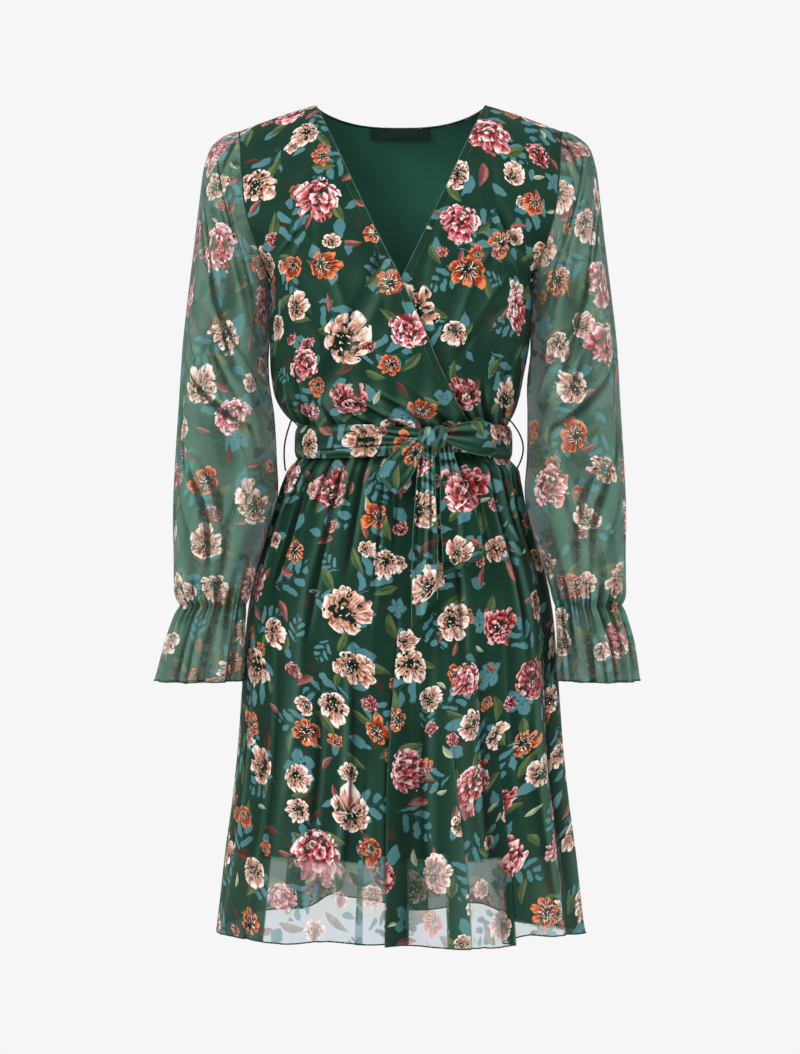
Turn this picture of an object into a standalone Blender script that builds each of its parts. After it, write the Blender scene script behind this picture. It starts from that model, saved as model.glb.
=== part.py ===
"""A knee-length wrap dress, filled out as if worn: crossed fronts, long sheer sleeves with frilled
cuffs, a gathered skirt over a shorter lining, and a tie belt knotted in a bow.

Metres, +Z up. The origin is midway between the shoulders, level with the points where the shoulder
seams meet the neck. The front faces -Y, and +X is the wearer's left.
"""

import bmesh
import bpy
import numpy as np

# Driving dimensions.
CLOTH = 0.0010  # thickness of every cloth wall
SEAM = 0.0004  # clear space between two pieces that are sewn together
LAYER = CLOTH + 0.0008  # from one cloth to the next one under it
OVERLAP_AIR = 0.0026  # more room where the right front lies over the left one
WAIST = -0.385  # height of the waist seam
NECK_HALF = 0.097  # from the centre to where a shoulder seam meets the neck
SHOULDER_ROUND = 0.100  # height over which the shoulders turn from front to back
BACK_NECK_DROP = 0.017
UNDERARM = 0.511  # share of the height from waist to shoulder
LINING_HEM = -0.845

BELT_Z = -0.386
BELT_HALF = 0.017
BELT_WALL = 0.0012
KNOT = np.array((0.0350, -0.1022, -0.3835))
KNOT_HALF = np.array((0.0160, 0.0090, 0.0125))
LOOP_THREAD = 0.0008  # radius of the thread of a belt carrier

GREEN = (0.012, 0.060, 0.044, 1.0)
LINING_GREEN = (0.017, 0.078, 0.058, 1.0)
BLACK = (0.008, 0.012, 0.010, 1.0)


class Profile:
    """A table with a row for each section, read as smooth curves over its first column."""

    def __init__(self, names, *rows):
        self.columns = dict(zip(names.split(), np.array(sorted(rows), float).T))
        self.key = next(iter(self.columns.values()))

    def at(self, place, name):
        knots, values = self.key, self.columns[name]
        slopes = np.gradient(values, knots)
        place = np.clip(place, knots[0], knots[-1])
        i = np.clip(np.searchsorted(knots, place, side="right") - 1, 0, len(knots) - 2)
        width = knots[i + 1] - knots[i]
        t = (place - knots[i]) / width
        start = (1 + 2 * t) * (1 - t) ** 2 * values[i] + t * (1 - t) ** 2 * width * slopes[i]
        end = t * t * (3 - 2 * t) * values[i + 1] + t * t * (t - 1) * width * slopes[i + 1]
        return start + end


# The bodice: height is the share of the way from the waist to the shoulder line.
BODICE = Profile(
    "height half_width front back squareness shift",
    (0.000, 0.1135, 0.086, 0.083, 2.0, 0.0035),
    (0.040, 0.1175, 0.088, 0.085, 2.0, 0.0025),
    (0.090, 0.1315, 0.100, 0.093, 2.1, -0.0015),
    (0.120, 0.1370, 0.106, 0.094, 2.2, -0.0032),
    (0.200, 0.1437, 0.115, 0.097, 2.2, -0.0036),
    (0.330, 0.1480, 0.126, 0.101, 2.4, -0.0005),
    (0.440, 0.1495, 0.126, 0.102, 2.6, 0.0000),
    (0.511, 0.1500, 0.119, 0.102, 2.7, 0.0000),
    (0.600, 0.1780, 0.109, 0.101, 2.3, 0.0000),
    (0.700, 0.2050, 0.097, 0.100, 2.5, 0.0000),
    (0.850, 0.2120, 0.080, 0.095, 2.9, 0.0000),
    (1.000, 0.2120, 0.062, 0.085, 3.0, 0.0000),
)
# How far from the centre the armhole edge is.
ARMHOLE = Profile(
    "height x",
    (0.511, 0.1500),
    (0.568, 0.1570),
    (0.625, 0.1640),
    (0.716, 0.1725),
    (0.850, 0.1780),
    (0.946, 0.1810),
    (1.000, 0.1840),
)
# The wrap edge of a front, counted from its own side: negative before the centre line.
WRAP_EDGE = Profile(
    "height x",
    (0.000, 0.083),
    (0.200, 0.047),
    (0.4545, -0.001),
    (0.709, -0.047),
    (1.000, -0.097),
)
# The skirt, by height. fold is the reach of the large folds, gather that of the gathers.
SKIRT = Profile(
    "z half_width front back fold gather shift",
    (-0.385, 0.1135, 0.086, 0.083, 0.0000, 0.0020, 0.0035),
    (-0.405, 0.1200, 0.090, 0.089, 0.0008, 0.0022, 0.0040),
    (-0.416, 0.1300, 0.098, 0.095, 0.0016, 0.0022, 0.0042),
    (-0.430, 0.1350, 0.102, 0.100, 0.0022, 0.0020, 0.0025),
    (-0.455, 0.1415, 0.107, 0.108, 0.0034, 0.0016, 0.0008),
    (-0.497, 0.1540, 0.115, 0.118, 0.0050, 0.0010, 0.0000),
    (-0.530, 0.1640, 0.121, 0.124, 0.0062, 0.0006, 0.0000),
    (-0.575, 0.1730, 0.127, 0.130, 0.0078, 0.0000, 0.0000),
    (-0.622, 0.1778, 0.131, 0.134, 0.0090, 0.0000, 0.0000),
    (-0.670, 0.1810, 0.135, 0.137, 0.0105, 0.0000, 0.0000),
    (-0.740, 0.1860, 0.140, 0.141, 0.0120, 0.0000, 0.0000),
    (-0.800, 0.1925, 0.144, 0.144, 0.0132, 0.0000, 0.0000),
    (-0.850, 0.1995, 0.148, 0.147, 0.0140, 0.0000, 0.0000),
    (-0.904, 0.2055, 0.152, 0.150, 0.0148, 0.0000, 0.0000),
    (-0.960, 0.2120, 0.156, 0.153, 0.0152, 0.0000, 0.0000),
)
# The hem, across a half of the skirt.
HEM = Profile(
    "angle front back",
    (-90.0, -0.9400, -0.9400),
    (-69.0, -0.9372, -0.9380),
    (-43.0, -0.9350, -0.9375),
    (-33.0, -0.9350, -0.9350),
    (-25.0, -0.9308, -0.9225),
    (-17.0, -0.9290, -0.9290),
    (-8.0, -0.9318, -0.9355),
    (3.0, -0.9352, -0.9430),
    (14.0, -0.9362, -0.9405),
    (24.0, -0.9370, -0.9360),
    (32.0, -0.9405, -0.9410),
    (36.0, -0.9385, -0.9445),
    (40.0, -0.9318, -0.9475),
    (51.0, -0.9322, -0.9510),
    (76.0, -0.9415, -0.9490),
    (90.0, -0.9445, -0.9445),
)
GATHERS = 14  # on each half of the skirt, front and back
# Large folds of the skirt, as angles across a half: 0 at its centre, 90 at the wearer's left seam.
FRONT_FOLDS = (
    # angle, half width, share of the fold reach
    (-66.0, 13.0, 0.45),
    (-40.0, 12.0, 0.85),
    (-14.0, 9.0, 1.15),
    (2.0, 8.0, -1.00),
    (19.0, 9.0, 1.05),
    (37.0, 10.0, -0.75),
    (52.0, 9.0, 0.80),
    (70.0, 10.0, -0.55),
)
BACK_FOLDS = (
    (-68.0, 12.0, -0.50),
    (-50.0, 11.0, 0.85),
    (-30.0, 10.0, -0.90),
    (-11.0, 10.0, 1.10),
    (8.0, 9.0, -0.85),
    (26.0, 10.0, 1.00),
    (46.0, 11.0, -0.80),
    (66.0, 12.0, 0.45),
)
# The sleeve of the wearer's left side, from the armhole to the hem of the frill. outer and inner
# are the ends of a section, away from the body and next to it.
SLEEVE = Profile(
    "along outer_x outer_z inner_x inner_z half_depth y fold gather left_outer left_inner",
    (0.00, 0.1843, -0.0302, 0.1512, -0.2052, 0.0610, 0.000, 0.0000, 0.0000, 0.0000, 0.0000),
    (0.05, 0.2000, -0.0347, 0.1510, -0.2100, 0.0615, 0.000, 0.0004, 0.0000, -0.0010, 0.0000),
    (0.10, 0.2150, -0.0465, 0.1509, -0.2160, 0.0600, 0.000, 0.0012, 0.0000, -0.0010, 0.0000),
    (0.16, 0.2240, -0.0700, 0.1508, -0.2240, 0.0580, -0.001, 0.0018, 0.0000, -0.0012, 0.0000),
    (0.23, 0.2290, -0.1040, 0.1508, -0.2360, 0.0560, -0.002, 0.0022, 0.0000, -0.0015, 0.0000),
    (0.31, 0.2350, -0.1560, 0.1505, -0.2560, 0.0545, -0.004, 0.0028, 0.0000, -0.0018, 0.0000),
    (0.39, 0.2420, -0.2170, 0.1508, -0.2830, 0.0535, -0.008, 0.0034, 0.0000, -0.0018, -0.0020),
    (0.48, 0.2480, -0.2780, 0.1495, -0.3170, 0.0530, -0.013, 0.0040, 0.0000, -0.0016, -0.0050),
    (0.57, 0.2516, -0.3400, 0.1435, -0.3570, 0.0525, -0.019, 0.0042, 0.0000, -0.0020, 0.0010),
    (0.65, 0.2552, -0.4000, 0.1405, -0.4040, 0.0520, -0.026, 0.0042, 0.0000, -0.0022, 0.0030),
    (0.71, 0.2575, -0.4470, 0.1390, -0.4470, 0.0515, -0.032, 0.0040, 0.0000, -0.0022, 0.0018),
    (0.78, 0.2578, -0.4950, 0.1510, -0.4950, 0.0490, -0.038, 0.0036, 0.0004, -0.0022, 0.0000),
    (0.84, 0.2555, -0.5370, 0.1645, -0.5370, 0.0430, -0.042, 0.0024, 0.0012, -0.0020, 0.0000),
    (0.885, 0.2502, -0.5610, 0.1715, -0.5610, 0.0340, -0.045, 0.0008, 0.0020, -0.0018, 0.0000),
    (0.90, 0.2455, -0.5695, 0.1745, -0.5695, 0.0310, -0.045, 0.0000, 0.0022, -0.0010, 0.0000),
    (0.92, 0.2515, -0.5820, 0.1752, -0.5820, 0.0330, -0.045, 0.0000, 0.0026, -0.0020, 0.0000),
    (0.95, 0.2605, -0.6060, 0.1760, -0.6060, 0.0380, -0.045, 0.0000, 0.0034, -0.0028, 0.0000),
    (1.00, 0.2735, -0.6545, 0.1790, -0.6540, 0.0470, -0.045, 0.0000, 0.0050, -0.0085, 0.0000),
)
SLEEVE_ROWS = (0, 0.05, 0.10, 0.17, 0.25, 0.35, 0.47, 0.59, 0.70, 0.79, 0.85, 0.90, 0.92, 0.95, 1)
SLEEVE_FOLDS = 5
FRILL_WAVES = 9


def material(name, colour, roughness):
    made = bpy.data.materials.new(name)
    made.use_nodes = True
    shader = made.node_tree.nodes["Principled BSDF"]
    shader.inputs["Base Color"].default_value = colour
    shader.inputs["Roughness"].default_value = roughness
    made.diffuse_color = colour
    return made


def smoothstep(low, high, value):
    t = np.clip((value - low) / (high - low), 0.0, 1.0)
    return t * t * (3 - 2 * t)


def unit(vectors):
    return vectors / np.maximum(np.linalg.norm(vectors, axis=-1, keepdims=True), 1e-12)


def stack(x, y, z):
    return np.stack(np.broadcast_arrays(x, y, z), axis=-1).astype(float)


def normals(surface, u, v, outward, step=1e-3, closed=False):
    """Unit normals of surface(u, v), turned to agree with outward(points)."""
    if closed:
        across = surface(u + step, v) - surface(u - step, v)
    else:
        across = surface(np.minimum(u + step, 1), v) - surface(np.maximum(u - step, 0), v)
    down = surface(u, np.minimum(v + step, 1)) - surface(u, np.maximum(v - step, 0))
    found = unit(np.cross(across, down))
    sign = np.sign((found * outward(surface(u, v))).sum(axis=-1, keepdims=True))
    return found * np.where(sign == 0, 1.0, sign)


def wall(name, outer, inner, finish, closed=False):
    """One closed solid between two grids of points, with the same diagonals on both."""
    rows, columns = outer.shape[:2]
    mesh = bmesh.new()
    sides = [
        [[mesh.verts.new(point) for point in row] for row in grid] for grid in (outer, inner)
    ]
    last = columns if closed else columns - 1

    def quad(a, b, c, d):
        mesh.faces.new((a, b, c))
        mesh.faces.new((a, c, d))

    for grid in sides:
        for i in range(rows - 1):
            for j in range(last):
                k = (j + 1) % columns
                quad(grid[i][j], grid[i + 1][j], grid[i + 1][k], grid[i][k])
    out, into = sides
    for i in (0, rows - 1):
        for j in range(last):
            k = (j + 1) % columns
            quad(out[i][j], out[i][k], into[i][k], into[i][j])
    if not closed:
        for j in (0, columns - 1):
            for i in range(rows - 1):
                quad(out[i][j], out[i + 1][j], into[i + 1][j], into[i][j])
    bmesh.ops.recalc_face_normals(mesh, faces=mesh.faces)
    return placed(name, mesh, finish)


def placed(name, mesh, finish):
    data = bpy.data.meshes.new(name)
    mesh.to_mesh(data)
    mesh.free()
    data.materials.append(finish)
    data.shade_smooth()
    made = bpy.data.objects.new(name, data)
    bpy.context.scene.collection.objects.link(made)
    return made


def panel(name, surface, outward, shape, finish, outside=0.0, raised=None, closed=False, half=0):
    """A cloth wall on surface(u, v): outside is its outer face's height over the surface, and
    raised adds bumps to the outer face only. shape is (rows, columns), or the v of each row.
    half is -1 for a wall of the front, 1 for one of the back: it keeps to its own side of the
    side seams, and its edge at the waist is level."""
    rows, columns = shape
    v = np.linspace(0, 1, rows) if np.isscalar(rows) else np.array(rows, float)
    u = np.arange(columns) / columns if closed else np.linspace(0, 1, columns)
    u, v = np.meshgrid(u, v)
    base = surface(u, v)
    normal = normals(surface, u, v, outward, closed=closed)
    if half:
        normal[0, :, 2] = 0.0
        normal = unit(normal)
    lift = outside(u, v)[..., None] if callable(outside) else outside
    bump = raised(u, v)[..., None] if raised else 0.0
    grids = [base + normal * (lift + bump), base + normal * (lift - CLOTH)]
    if half:
        for grid in grids:
            grid[..., 1] = half * np.maximum(half * grid[..., 1], SEAM / 2)
    return wall(name, *grids, finish, closed)


def oval(angle, half_width, depth, squareness):
    """A point of a rounded section: x, and how far it is in front of or behind the centre."""
    power = 2.0 / squareness
    x = half_width * np.sign(np.sin(angle)) * np.abs(np.sin(angle)) ** power
    return x, depth * np.abs(np.cos(angle)) ** power


def angle_of(x, half_width, squareness):
    share = np.clip(np.abs(x) / half_width, 0, 1)
    return np.sign(x) * np.arcsin(share ** (squareness / 2))


def from_axis(points):
    """Outwards, away from the dress's own middle."""
    return points - np.array((0.0, 0.0, -0.12)) * (points[..., 2:] > -0.12) - points * (
        points[..., 2:] <= -0.12
    ) * np.array((0.0, 0.0, 1.0))


# ---------------------------------------------------------------------------------------- bodice


def shoulder_z(x):
    out = np.maximum(np.abs(x) - NECK_HALF, 0.0)
    return -(0.28 * out + 0.75 * out * out)


def bodice_point(side, angle, height):
    """side is -1 for the front and 1 for the back."""
    depth = BODICE.at(height, "front" if side < 0 else "back")
    square = BODICE.at(height, "squareness")
    x, out = oval(angle, BODICE.at(height, "half_width"), depth, square)
    z = WAIST + SEAM + (shoulder_z(x) - WAIST - SEAM) * height
    near_top = np.clip((1 - height) * -WAIST / SHOULDER_ROUND, 0, 1)
    turn = np.sqrt(np.maximum(1 - (1 - near_top) ** 2, 0))
    return stack(x + BODICE.at(height, "shift"), side * (SEAM / 2 + out * turn), z)


def side_angle(height):
    """The angle of a panel's outer edge: the side seam, and above the underarm the armhole."""
    square = BODICE.at(height, "squareness")
    arm = angle_of(ARMHOLE.at(height, "x"), BODICE.at(height, "half_width"), square)
    return np.where(height <= UNDERARM, np.pi / 2, arm)


def bodice_rows(turning):
    """Heights of the rows: closer over the belt and round the bottom of the armhole, and by
    equal angles over the shoulder's turn."""
    start = 1 - SHOULDER_ROUND / -WAIST
    low = (0, 0.042, 0.095, 0.19, 0.30, 0.41, UNDERARM, 0.527, 0.562, 0.615, 0.675)
    turn = 1 - (1 - start) * (1 - np.sin(np.linspace(0, np.pi / 2, turning)))
    return np.concatenate([low, turn])


def wrap_x(height, wearer_side):
    """The wrap edge's x. wearer_side is -1 for the right front and 1 for the left one."""
    return -wearer_side * WRAP_EDGE.at(height, "x")


def front_surface(wearer_side):
    def surface(u, v):
        edge = angle_of(
            wrap_x(v, wearer_side), BODICE.at(v, "half_width"), BODICE.at(v, "squareness")
        )
        outer = wearer_side * side_angle(v)
        return bodice_point(-1, outer + (edge - outer) * u, v)

    return surface


def back_surface(u, v):
    angle = side_angle(v) * (2 * u - 1)
    x = bodice_point(1, angle, v)[..., 0]
    share = np.clip(np.abs(x) / NECK_HALF, 0, 1)
    drop = BACK_NECK_DROP * (1 - share**2.7) / -WAIST
    return bodice_point(1, angle, v * (1 - drop))


def over_the_left_front(surface, air, later=0.0):
    """The right front rides over the left front and its lining where the two overlap."""

    def lift(u, v):
        x = surface(u, v)[..., 0]
        edge = wrap_x(v, 1) + later
        crossed = smoothstep(0.60, 0.49, v)
        high = 2 * LAYER + air * (0.5 + 0.5 * smoothstep(0.0, 0.12, v))
        return high * smoothstep(edge - 0.040, edge - 0.012, x) * crossed

    return lift


def under_the_cloth(lift):
    """The lining hangs a layer lower, with more room where the armholes start and at the waist."""
    room = lambda v: 0.0014 * smoothstep(0.38, 0.52, v) + 0.0008 * smoothstep(0.25, 0.05, v)
    return lambda u, v: lift(u, v) - LAYER - room(v)


def bodice_gathers(surface, count, reach):
    """Small gathers over the waist seam, fading upwards."""

    def raised(u, v):
        x, y = surface(u, v)[..., 0], surface(u, v)[..., 1]
        around = np.arctan2(x, np.abs(y)) / np.pi
        return reach * np.exp(-v / 0.10) * (0.5 + 0.5 * np.cos(2 * np.pi * count * around))

    return raised


def flat(u, v):
    return np.zeros_like(u)


def add_bodice(cloth, lining):
    rows = bodice_rows(6)
    for side, word in ((-1, "right"), (1, "left")):
        surface = front_surface(side)
        lift, low = flat, flat
        if side < 0:
            lift = over_the_left_front(surface, OVERLAP_AIR)
            low = over_the_left_front(surface, OVERLAP_AIR - 0.0012, 0.006)
        shape = (rows, 17)
        lining_shape = (rows, 13 if side < 0 else 11)
        gathers = bodice_gathers(surface, 12, 0.0012 if side < 0 else 0.0)
        panel(f"bodice_front_{word}", surface, from_axis, shape, cloth, lift, gathers, half=-1)
        under = under_the_cloth(low)
        panel(f"lining_front_{word}", surface, from_axis, lining_shape, lining, under, half=-1)
    gathers = bodice_gathers(back_surface, 12, 0.0012)
    under = under_the_cloth(flat)
    panel("bodice_back", back_surface, from_axis, (rows, 21), cloth, 0.0, gathers, half=1)
    panel("lining_back", back_surface, from_axis, (rows, 11), lining, under, half=1)


def add_label(finish):
    """A plain woven label sewn inside the back of the neck."""
    half_width, height, sewn = 0.0345, 0.012, -0.0030

    def surface(u, v):
        x = half_width * (2 * u - 1)
        share = 1 - (BACK_NECK_DROP + sewn + height * v) / -WAIST
        angle = angle_of(x, BODICE.at(share, "half_width"), BODICE.at(share, "squareness"))
        return bodice_point(1, angle, share)

    under = -LAYER - CLOTH - 0.0030
    panel("neck_label", surface, from_axis, (3, 9), finish, under)


# ----------------------------------------------------------------------------------------- skirt


def hem_z(side, angle):
    return HEM.at(np.degrees(angle), "front" if side < 0 else "back")


def folds_at(side, angle, z):
    reach = SKIRT.at(z, "fold")
    total = np.zeros_like(angle * z)
    for centre, half, share in FRONT_FOLDS if side < 0 else BACK_FOLDS:
        away = (np.degrees(angle) - centre) / half
        total = total + share * np.exp(-away * away)
    gather = SKIRT.at(z, "gather") * np.cos(2 * GATHERS * angle)
    return reach * total + gather * np.cos(angle) ** 0.5


def skirt_point(side, angle, z, inset=0.0, folded=1.0):
    depth = SKIRT.at(z, "front" if side < 0 else "back")
    half_width = SKIRT.at(z, "half_width")
    x, out = oval(angle, half_width - inset, depth - inset, 2.0)
    pushed = folds_at(side, angle, z) * folded
    away = unit(np.stack(np.broadcast_arrays(x / half_width**2, out / depth**2), axis=-1))
    x = x + away[..., 0] * pushed + SKIRT.at(z, "shift")
    return stack(x, side * (SEAM / 2 + np.maximum(out + away[..., 1] * pushed, 0)), z)


def skirt_surface(side):
    def surface(u, v):
        angle = np.pi * (u - 0.5)
        top = WAIST - SEAM / 2
        return skirt_point(side, angle, top + (hem_z(side, angle) - top) * v)

    return surface


def lining_inset(z):
    """The lining hangs inside the folds of the skirt."""
    return 0.0045 + 1.25 * SKIRT.at(z, "fold")


def skirt_lining_surface(side):
    def surface(u, v):
        angle = np.pi * (u - 0.5)
        z = WAIST - SEAM / 2 + (LINING_HEM - WAIST) * v
        return skirt_point(side, angle, z, lining_inset(z), 0.25 * smoothstep(0.2, 0.8, v))

    return surface


def add_skirt(cloth, lining):
    rows = np.array((0, 0.035, 0.08, 0.17, 0.31, 0.48, 0.65, 0.83, 1))
    for side, word in ((-1, "front"), (1, "back")):
        shape = (rows, 53)
        under = skirt_lining_surface(side)
        panel(f"skirt_{word}", skirt_surface(side), from_axis, shape, cloth, half=side)
        panel(f"lining_skirt_{word}", under, from_axis, (7, 27), lining, half=side)


# --------------------------------------------------------------------------------------- sleeves


def armhole_point(turn):
    """The armhole edge. turn is 0 at the shoulder, 0.25 in front and 0.5 at the underarm."""
    front = np.cos(2 * np.pi * turn)
    height = UNDERARM + (1 - UNDERARM) * (0.5 + 0.5 * front)
    ahead = bodice_point(-1, side_angle(height), height)
    behind = bodice_point(1, side_angle(height), height)
    return np.where((np.sin(2 * np.pi * turn) >= 0)[..., None], ahead, behind)


def sleeve_section(side, turn, along, wavy=1.0):
    """A point of a sleeve before it is fitted to the armhole, with +x away from the body."""
    row = {name: SLEEVE.at(along, name) for name in SLEEVE.columns}
    if side > 0:
        row["outer_x"] = row["outer_x"] + row["left_outer"]
        row["inner_x"] = row["inner_x"] + row["left_inner"]
    angle = 2 * np.pi * turn
    away, ahead = np.cos(angle), np.sin(angle)
    free = smoothstep(-0.95, -0.35, away)
    fold = row["fold"] * np.cos(SLEEVE_FOLDS * angle + 1.1 + 1.6 * along) * free
    wave = row["gather"] * np.cos(FRILL_WAVES * angle) * np.maximum(free, smoothstep(0.9, 1, along))
    grow = 1 + wavy * (fold + wave) / 0.05
    middle_x = (row["outer_x"] + row["inner_x"]) / 2
    middle_z = (row["outer_z"] + row["inner_z"]) / 2
    x = middle_x + (row["outer_x"] - row["inner_x"]) / 2 * away * grow
    z = middle_z + (row["outer_z"] - row["inner_z"]) / 2 * away
    return stack(x, row["y"] - row["half_depth"] * ahead * grow, z)


def sleeve_surface(side):
    def surface(u, v):
        fitted = armhole_point(u) + stack(2 * SEAM, 0.0, 0.0) - sleeve_section(side, u, v * 0.0)
        near = 1 - smoothstep(0.0, 0.30, v)
        points = sleeve_section(side, u, v) + fitted * near[..., None]
        return points * np.array((side, 1.0, 1.0))

    return surface


def from_sleeve(side):
    """Outwards, away from the middle of the sleeve's section."""
    rows = zip(*(SLEEVE.columns[n] for n in ("outer_x", "outer_z", "inner_x", "inner_z", "y")))
    middles = (((oz + iz) / 2, (ox + ix) / 2, y) for ox, oz, ix, iz, y in rows)
    middle = Profile("z x y", *middles)

    def outward(points):
        x = middle.at(points[..., 2], "x") * side
        lean = smoothstep(-0.20, -0.06, points[..., 2])
        y = middle.at(points[..., 2], "y")
        return stack(points[..., 0] - x, points[..., 1] - y, lean * 0.06)

    return outward


def add_sleeves(cloth):
    for side, word in ((-1, "right"), (1, "left")):
        shape = (SLEEVE_ROWS, 32)
        panel(f"sleeve_{word}", sleeve_surface(side), from_sleeve(side), shape, cloth, closed=True)


# ------------------------------------------------------------------------------------------ belt


def waist_oval(angle, out):
    """A point out beyond the waist section. angle goes all round: 0 in front, 90 at the left."""
    x = BODICE.at(0.0, "shift") + (BODICE.at(0.0, "half_width") + out) * np.sin(angle)
    depth = np.where(np.cos(angle) > 0, BODICE.at(0.0, "front"), BODICE.at(0.0, "back")) + out
    return x, -depth * np.cos(angle)


def belt_surface(u, v):
    """The band round the waist: hollow between its edges, and drawn in beside the knot."""
    angle = 2 * np.pi * u
    knot_angle = np.arcsin(KNOT[0] / 0.122)
    away = np.arctan2(np.sin(angle - knot_angle), np.cos(angle - knot_angle))
    near = np.exp(-((away / 0.22) ** 2))
    across = 2 * v - 1
    out = 0.0082 + 0.0015 * across**2 + 0.0008 * np.cos(3 * np.pi * across)
    x, y = waist_oval(angle, out + 0.0035 * np.maximum(np.cos(angle), 0) ** 0.6)
    return stack(x, y, BELT_Z - BELT_HALF * (1 - 0.30 * near) * across)


def ribbon(name, middle, across, half_width, wall_half, finish, shape, crease=0.0):
    """A strip of belt: middle(s) is its centre line, across(s) the way over it, s from 0 to 1."""
    rows, columns = shape
    s, w = np.meshgrid(np.linspace(0, 1, rows), np.linspace(-1, 1, columns), indexing="ij")

    def surface(u, v):
        step = across(v) * (half_width(v) * (2 * u - 1))[..., None]
        ahead = stack(0.0, -crease * np.cos(2 * np.pi * u) * np.sin(np.pi * v) ** 0.5, 0.0)
        return middle(v) + step + ahead

    u, v = (w + 1) / 2, s
    base = surface(u, v)
    du = surface(np.minimum(u + 1e-3, 1), v) - surface(np.maximum(u - 1e-3, 0), v)
    dv = surface(u, np.minimum(v + 1e-3, 1)) - surface(u, np.maximum(v - 1e-3, 0))
    normal = unit(np.cross(du, dv))
    return wall(name, base + normal * wall_half, base - normal * wall_half, finish)


def add_knot(finish):
    """The knot: a rounded lump with two soft ridges, flat where it lies on the band."""
    mesh = bmesh.new()
    bmesh.ops.create_icosphere(mesh, subdivisions=3, radius=1.0)
    for vertex in mesh.verts:
        x, y, z = vertex.co
        ridge = 1 + 0.07 * np.cos(5.0 * (x + 0.5 * z))
        y = max(y, -1.0) if y < 0.45 else 0.45
        vertex.co = KNOT + KNOT_HALF * (x * ridge, y, z * ridge)
    return placed("belt_knot", mesh, finish)


def skirt_front_y(x, z):
    """How far forward the skirt reaches at x and z, folds included."""
    depth, half = SKIRT.at(z, "front"), SKIRT.at(z, "half_width")
    reach = 1.2 * SKIRT.at(z, "fold") + SKIRT.at(z, "gather")
    return -(depth * np.sqrt(np.maximum(1 - (x / half) ** 2, 0)) + reach)


def loop_middle(start, end, rise, gap):
    """Out from the knot along the front layer, round the end, and back along the rear one."""

    def middle(s):
        turn = np.pi * np.clip((s - 0.42) / 0.16, 0, 1)
        out = np.where(s < 0.5, s / 0.42, (1 - s) / 0.42)
        out = np.clip(out, 0, 1)
        place = start + (end - start) * out[..., None]
        bulge = np.sin(np.pi * out) * rise
        depth = gap * (0.35 + 0.65 * np.sin(np.pi * np.clip(out, 0, 1) / 2)) * np.cos(turn)
        beyond = 0.5 * gap * np.sin(turn)
        way = (end - start) / np.linalg.norm(end - start)
        return place + way * beyond[..., None] + stack(0.0, -bulge - depth, 0.0)

    return middle


def add_bow(cloth):
    half = BELT_WALL / 2
    # The loop on the wearer's left lies along the band, and the other one droops over the skirt.
    loops = (
        ("left", (0.0520, -0.1040, -0.3810), (0.1040, -0.0680, -0.3845), (0.0, 0.1, 1.0), 0.0200, 0.004),
        ("right", (0.0197, -0.1055, -0.3897), (-0.0145, -0.1170, -0.4340), (-0.68, 0.0, 0.73), 0.0175, 0.002),
    )
    for word, start, end, over, widest, rise in loops:
        middle = loop_middle(np.array(start), np.array(end), rise, 0.0055)
        over = unit(np.array(over))

        def width(s, widest=widest):
            out = np.clip(np.minimum(s, 1 - s) / 0.42, 0, 1)
            return 0.0065 + (widest - 0.0065) * np.sin(np.pi / 2 * out) ** 0.8

        ribbon(
            f"belt_loop_{word}", middle, lambda s, over=over: over * np.ones(s.shape + (1,)),
            width, half, cloth, (20, 4),
        )
    tails = (
        # word, x and z at the knot and at the end, half widths there, how far ahead, slant
        ("right", (0.0288, -0.3962), (0.0262, -0.5760), 0.0090, 0.0140, 0.0080, -0.0150),
        ("left", (0.0460, -0.3961), (0.0676, -0.5290), 0.0075, 0.0215, 0.0130, -0.0110),
    )
    for word, top, end, narrow, wide, forward, slant in tails:

        def middle(s, top=top, end=end, forward=forward):
            x = top[0] + (end[0] - top[0]) * smoothstep(-0.3, 0.9, s)
            z = top[1] + (end[1] - top[1]) * s
            hang = skirt_front_y(x, z) - forward
            return stack(x, np.minimum(hang, KNOT[1]), z)

        def width(s, narrow=narrow, wide=wide):
            return narrow + (wide - narrow) * smoothstep(0.0, 0.7, s)

        def over(s, slant=slant, wide=wide):
            return stack(1.0, 0.0, -slant / wide * smoothstep(0.75, 1.0, s))

        ribbon(f"belt_tail_{word}", middle, over, width, half, cloth, (13, 5), crease=0.0022)


def add_belt(cloth):
    u, v = np.meshgrid(np.arange(48) / 48, np.linspace(0, 1, 4))
    base = belt_surface(u, v)
    away = lambda points: points * np.array((1.0, 1.0, 0.0))
    normal = normals(belt_surface, u, v, away, closed=True)
    wall("belt_band", base + normal * BELT_WALL, base, cloth, closed=True)
    add_knot(cloth)
    add_bow(cloth)


def add_carriers(finish):
    """Thread loops at the side seams, which carry the belt."""
    for side, word, stand in ((-1, "right", 0.0045), (1, "left", 0.0120)):
        angle = np.radians(80)
        ends = []
        for height, table, row in ((-0.3600, BODICE, 0.065), (-0.4180, SKIRT, -0.4180)):
            out = 0.0015
            x, ahead = oval(angle, table.at(row, "half_width") + out, table.at(row, "front") + out, 2.0)
            ends.append(np.array((x, -ahead, height)))
        t = np.linspace(0, 1, 13)[:, None]
        line_points = ends[0] + (ends[1] - ends[0]) * t
        line_points = line_points + np.array((stand, 0.0, 0.0)) * np.sin(np.pi * t) ** 0.9
        line = bpy.data.curves.new(f"belt_carrier_{word}", "CURVE")
        line.dimensions = "3D"
        line.bevel_depth = LOOP_THREAD
        line.bevel_resolution = 1
        line.use_fill_caps = True
        spline = line.splines.new("POLY")
        spline.points.add(len(t) - 1)
        for point, (x, y, z) in zip(spline.points, line_points):
            point.co = (side * x, y, z, 1.0)
        line.materials.append(finish)
        made = bpy.data.objects.new(f"belt_carrier_{word}", line)
        bpy.context.scene.collection.objects.link(made)


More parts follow.
